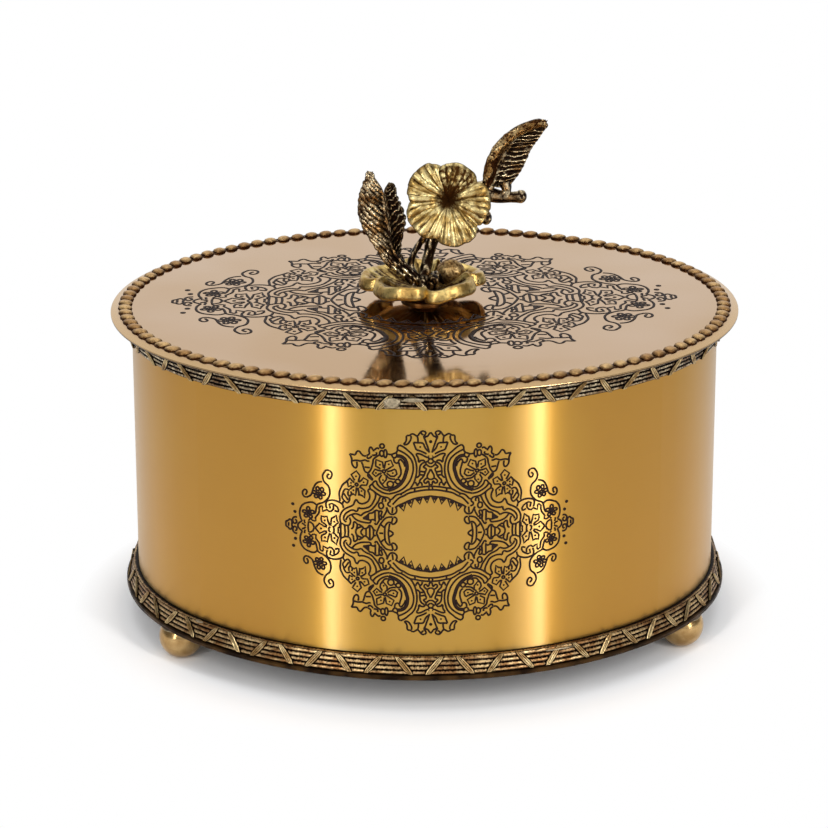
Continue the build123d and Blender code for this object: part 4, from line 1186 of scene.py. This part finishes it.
rod(
    "twig",
    [(18.2, 0.6, 35.8), (21.0, 0, 34.4), (24.2, -0.3, 33.8), (27.3, -0.3, 33.6), (30.0, -0.2, 33.7)],
    [2.4, 2.4, 2.1, 1.8, 2.0],
    ragged=0.35, lines=(0.4, 3.0, 3.0), worn=0.75,
)
rod(
    "twig_neck",
    [(25.2, -0.2, 33.9), (25.9, -0.4, 36.0), (25.2, -0.2, 38.6)],
    [2.0, 1.5, 2.2],
    ragged=0.25, worn=0.65,
)
rod("bud_stalk", [(10.4, 0.4, 32), (15.4, 0.2, 29.4), (19.4, -0.4, 26.8)], [1.2, 1.0, 1.2])
# Lumps: middle, half sizes, how knobbly, and how wide their knobs are, in millimetres
CAST_LUMPS = (
    ("twig_knob", (30.4, -0.2, 33.8), (2.0, 1.9, 2.1), 0.08, 1.2),
    ("bud", (19.5, -0.6, 27.0), (2.0, 1.9, 2.0), 0.2, 1.2),
    ("stem_knot", (0.4, 0, 5.2), (3.6, 3.4, 3.4), 0.3, 1.6),
)
for name, middle, half_sizes, roughness, grain in CAST_LUMPS:
    cast_lump(name, middle, half_sizes, roughness, cast_brass, grain)
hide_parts("finial_stem")
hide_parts("finial_branch")

SEPAL_TURNS = (-158, -100, -42, 20, 95)
for number, turn in enumerate(SEPAL_TURNS):
    reach = 5.8 + 1.0 * sin(2.3 * number)
    side = Vector((cos(radians(turn)), sin(radians(turn)), 0))
    tip = side * reach + Vector((0.3, 0, 5.4 + 0.6 * cos(number)))
    bend = side * 3.6 + Vector((0.3, 0, 7.4))
    rod(f"sepal_{number + 1}", [(0.3, 0, 6.6), tuple(bend), tuple(tip)], [1.4, 1.6, 0.5])

# Flower: one casting of five broad petals that overlap, each fluted towards its rim and combed with
# fine veins down to a dark throat. It faces the front and looks up a little. A dark line is painted
# along each side of a petal, painted shadow where the next one overlaps it, and a dark outline along
# its outer edge, painted shade.

FLOWER_MIDDLE = (7.3, -4.4, 33.8)
FLOWER_TILT = radians(20)
FLOWER_THROAT = 2.4
# Petals: direction, half the spread in degrees, reach, how deeply each is veined, and how light it is
# painted, the upper petals least
FLOWER_PETALS = (
    (66, 40, 11.7, 0.7, 0.0),
    (-9, 38, 13.1, 0.9, 0.42),
    (-75, 31, 14.6, 0.6, 0.58),
    (-140, 38, 13.9, 1.0, 0.46),
    (144, 40, 13.4, 1.4, 0.28),
)
facing = Matrix((
    (1, 0, 0),
    (0, sin(FLOWER_TILT), -cos(FLOWER_TILT)),
    (0, cos(FLOWER_TILT), sin(FLOWER_TILT)),
))


def flower_petal(turn, half_spread, reach, comb_depth, rubbed, seed):
    """Place on one petal of the flower."""

    def place(v, u):
        angle = radians(turn + v * half_spread)
        edge = reach * (1 - 0.03 * v * v - 0.16 * abs(v) ** 4) * (1 + 0.01 * sin(9 * v + seed))
        out = edge * (0.02 + 0.98 * u)
        grow = min(1, max(0, (out - 1.3) / 4.2))
        fine = 0.5 + 0.5 * cos(pi * 7 * v + 1.8 * noise.noise(Vector((3 * v, 2.5 * u, seed))))
        grain = noise.noise(Vector((12 * v, 12 * u, seed)))
        dish = 1.3 * sin(min(out / 9, 1) * pi / 2) - 1.1 * u**9
        dish -= FLOWER_THROAT * (1 - min(out / 5.0, 1)) ** 1.5
        lift = dish + (0.5 * comb_depth * (fine - 0.5) + 0.2 * grain + 0.5 * cos(pi * 2 * v + seed)) * grow
        lift += 0.6 * v * u - 0.7 * max(0, abs(v) - 0.85) / 0.15 * grow
        # Each petal is painted lighter by its own amount, the upper petals least.
        relief = (rubbed + 0.6 * comb_depth * (2 * fine**0.6 - 1.2) + 0.85 * grain + 0.35 * u**2) * grow
        # Painted shadow: dark along each side, where the next petal overlaps.
        if abs(v) > 0.93:
            relief = 0.1
        # A bright band near the rim, and painted shade as a dark outline on its outer edge.
        if u > 0.9:
            relief = 0.85 if u < 0.97 else 0.1
        point = facing @ Vector((out * cos(angle), out * sin(angle), lift))
        return on_lid(*(point + Vector(FLOWER_MIDDLE))), relief

    return place


petal_brass = worn_casting(
    "rubbed petal brass and painted shade", tint(216, 196, 138), tint(150, 122, 70), tint(66, 43, 22),
    0.4 * MM, shown=(0.3, 0.95), shine=(0.5, 0.32),
)
for number, petal_shape in enumerate(FLOWER_PETALS):
    petal_place = flower_petal(*petal_shape, 1.7 * number)
    petal = pull_sheet(f"flower_petal_{number + 1}", 44, 28, petal_place, 0.9 * MM, petal_brass)
calyx_middle = Vector(FLOWER_MIDDLE) + facing @ Vector((0, 0, -5.2))
cast_lump("flower_calyx", tuple(calyx_middle), (3.6, 2.5, 3.6), 0.12, cast_brass)
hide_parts("finial_flower")

# Screw and washer: steel-hard brass screw with a slotted head, driven up through a washer and the
# plate into the pedestal and the blossom. They are the frame's own pieces, dull from handling.

fixing_brass, shader = new_finish("dull screw brass", 0.4)
film = speckle(fixing_brass, 1.5 * MM, 4.0)
two_tones(fixing_brass, shader, film, tint(184, 152, 92), tint(118, 88, 50))
bump(fixing_brass, shader, film, 0.03 * MM)
for name in ("finial_screw", "finial_washer"):
    paint_node(name, fixing_brass)

# Floor: a plain white table that goes over into a white background, and keeps the object's shadow.

bpy.ops.mesh.primitive_plane_add(size=8)
floor = bpy.context.object
floor.name = "floor"
floor.select_set(False)
floor_white = bpy.data.materials.new("floor white")
floor_white.use_nodes = True
matt = floor_white.node_tree.nodes["Principled BSDF"]
matt.inputs["Base Color"].default_value = (0.93, 0.93, 0.935, 1)
matt.inputs["Roughness"].default_value = 0.8
matt.inputs["Specular IOR Level"].default_value = 0.1
ray = add_node(floor_white, "LightPath")
place = add_node(floor_white, "TexCoord")
oval = add_node(floor_white, "Mapping", Vector=place.outputs["Object"], Scale=(9.8, 10.5, 1.0))
outlying = add_node(floor_white, "VectorMath", Vector=oval.outputs["Vector"])
outlying.operation = "LENGTH"
past_shadow = spread(floor_white, outlying.outputs["Value"], 0.99, 1.14, 0, 1)
white_seen = reckon(floor_white, "MULTIPLY", ray.outputs["Is Camera Ray"], past_shadow)
distance = add_node(floor_white, "VectorMath", Vector=place.outputs["Object"])
distance.operation = "LENGTH"
past_box = spread(floor_white, distance.outputs["Value"], 0.16, 0.42, 0, 1)
white_mirrored = reckon(floor_white, "MULTIPLY", ray.outputs["Is Glossy Ray"], past_box)
spot = add_node(floor_white, "SeparateXYZ", Vector=place.outputs["Object"])
further_back = spread(floor_white, spot.outputs["Y"], 0.0, 0.3, 0, 0.32)
dimmed = reckon(floor_white, "MULTIPLY", ray.outputs["Is Glossy Ray"], further_back)
glow = add_node(floor_white, "Emission", Strength=spread(floor_white, dimmed, 0, 1, 1, 0))
fade = add_node(floor_white, "MixShader", Fac=reckon(floor_white, "ADD", white_seen, white_mirrored))
join_up(floor_white, matt.outputs["BSDF"], fade.inputs[1])
join_up(floor_white, glow.outputs["Emission"], fade.inputs[2])
show(floor_white, fade.outputs["Shader"])
floor.data.materials.append(floor_white)

# Room: white behind the object, dimmer at its sides, so that the brass has light and dark to show.

room = bpy.data.worlds.new("room")
bpy.context.scene.world = room
room.use_nodes = True
air = room.node_tree.nodes["Background"]
ray = add_node(room, "LightPath")
direction = add_node(room, "TexCoord")
turned = add_node(room, "SeparateXYZ", Vector=direction.outputs["Generated"])
sides = add_node(room, "ValToRGB", Fac=spread(room, turned.outputs["Y"], -1, 1, 0, 1))
shades = sides.color_ramp
for where, bright in ((0.08, 0.5), (0.3, 0.28), (0.62, 0.26), (0.8, 0.9)):
    stop = shades.elements.new(where)
    stop.color = (bright, bright, bright, 1)
shades.elements[0].color = (0.55, 0.55, 0.55, 1)
shades.elements[-1].color = (1, 1, 1, 1)
WORLD_LIGHT = 0.62
even = (WORLD_LIGHT, WORLD_LIGHT, WORLD_LIGHT, 1)
plain = blend_colours(room, ray.outputs["Is Glossy Ray"], even, sides.outputs["Color"])
join_up(room, blend_colours(room, ray.outputs["Is Camera Ray"], plain, (1, 1, 1, 1)), air.inputs["Color"])

# Lamps: two upright strip lamps that draw the streaks on the wall, and a soft panel overhead.


def lamp(name, turn, height, distance, size, power, warmth=(1, 1, 1)):
    """Panel lamp that faces the box. Turn is to the right of the front, in degrees, seen from above."""
    light = bpy.data.lights.new(name, "AREA")
    light.shape = "RECTANGLE"
    light.size, light.size_y = size
    light.energy = power
    light.color = warmth
    panel = bpy.data.objects.new(name, light)
    bpy.context.collection.objects.link(panel)
    turn = radians(turn)
    panel.location = (distance * sin(turn), -distance * cos(turn), height)
    aim = Vector((0, 0, 0.06)) - panel.location
    panel.rotation_euler = aim.to_track_quat("-Z", "Y").to_euler()
    panel.visible_camera = False
    return panel


lamp("left strip lamp", -33, 0.75, 1.5, (0.10, 1.5), 11)
lamp("right strip lamp", 39.3, 0.75, 1.5, (0.09, 1.5), 13.5)
lamp("front panel", 4, 0.9, 1.7, (1.1, 0.9), 3)
lamp("overhead panel", 0, 1.7, 0.01, (1.4, 1.4), 9)

# Camera: stands 0.77 m off, a touch to the left, and looks down on the lid.

CAMERA_PLACE = Vector((-22.37, -767.97, 338.34)) * MM
CAMERA_LENS = 108.98
turned = Matrix.Rotation(radians(-1.41), 4, "Z") @ Matrix.Rotation(radians(90 - 19.61), 4, "X")
eye = bpy.data.cameras.new("camera")
eye.lens = CAMERA_LENS
eye.sensor_width = 36
camera = bpy.data.objects.new("camera", eye)
bpy.context.collection.objects.link(camera)
camera.matrix_world = Matrix.Translation(CAMERA_PLACE) @ turned @ Matrix.Rotation(radians(-0.14), 4, "Z")
bpy.context.scene.camera = camera
bpy.context.scene.view_settings.view_transform = "Standard"
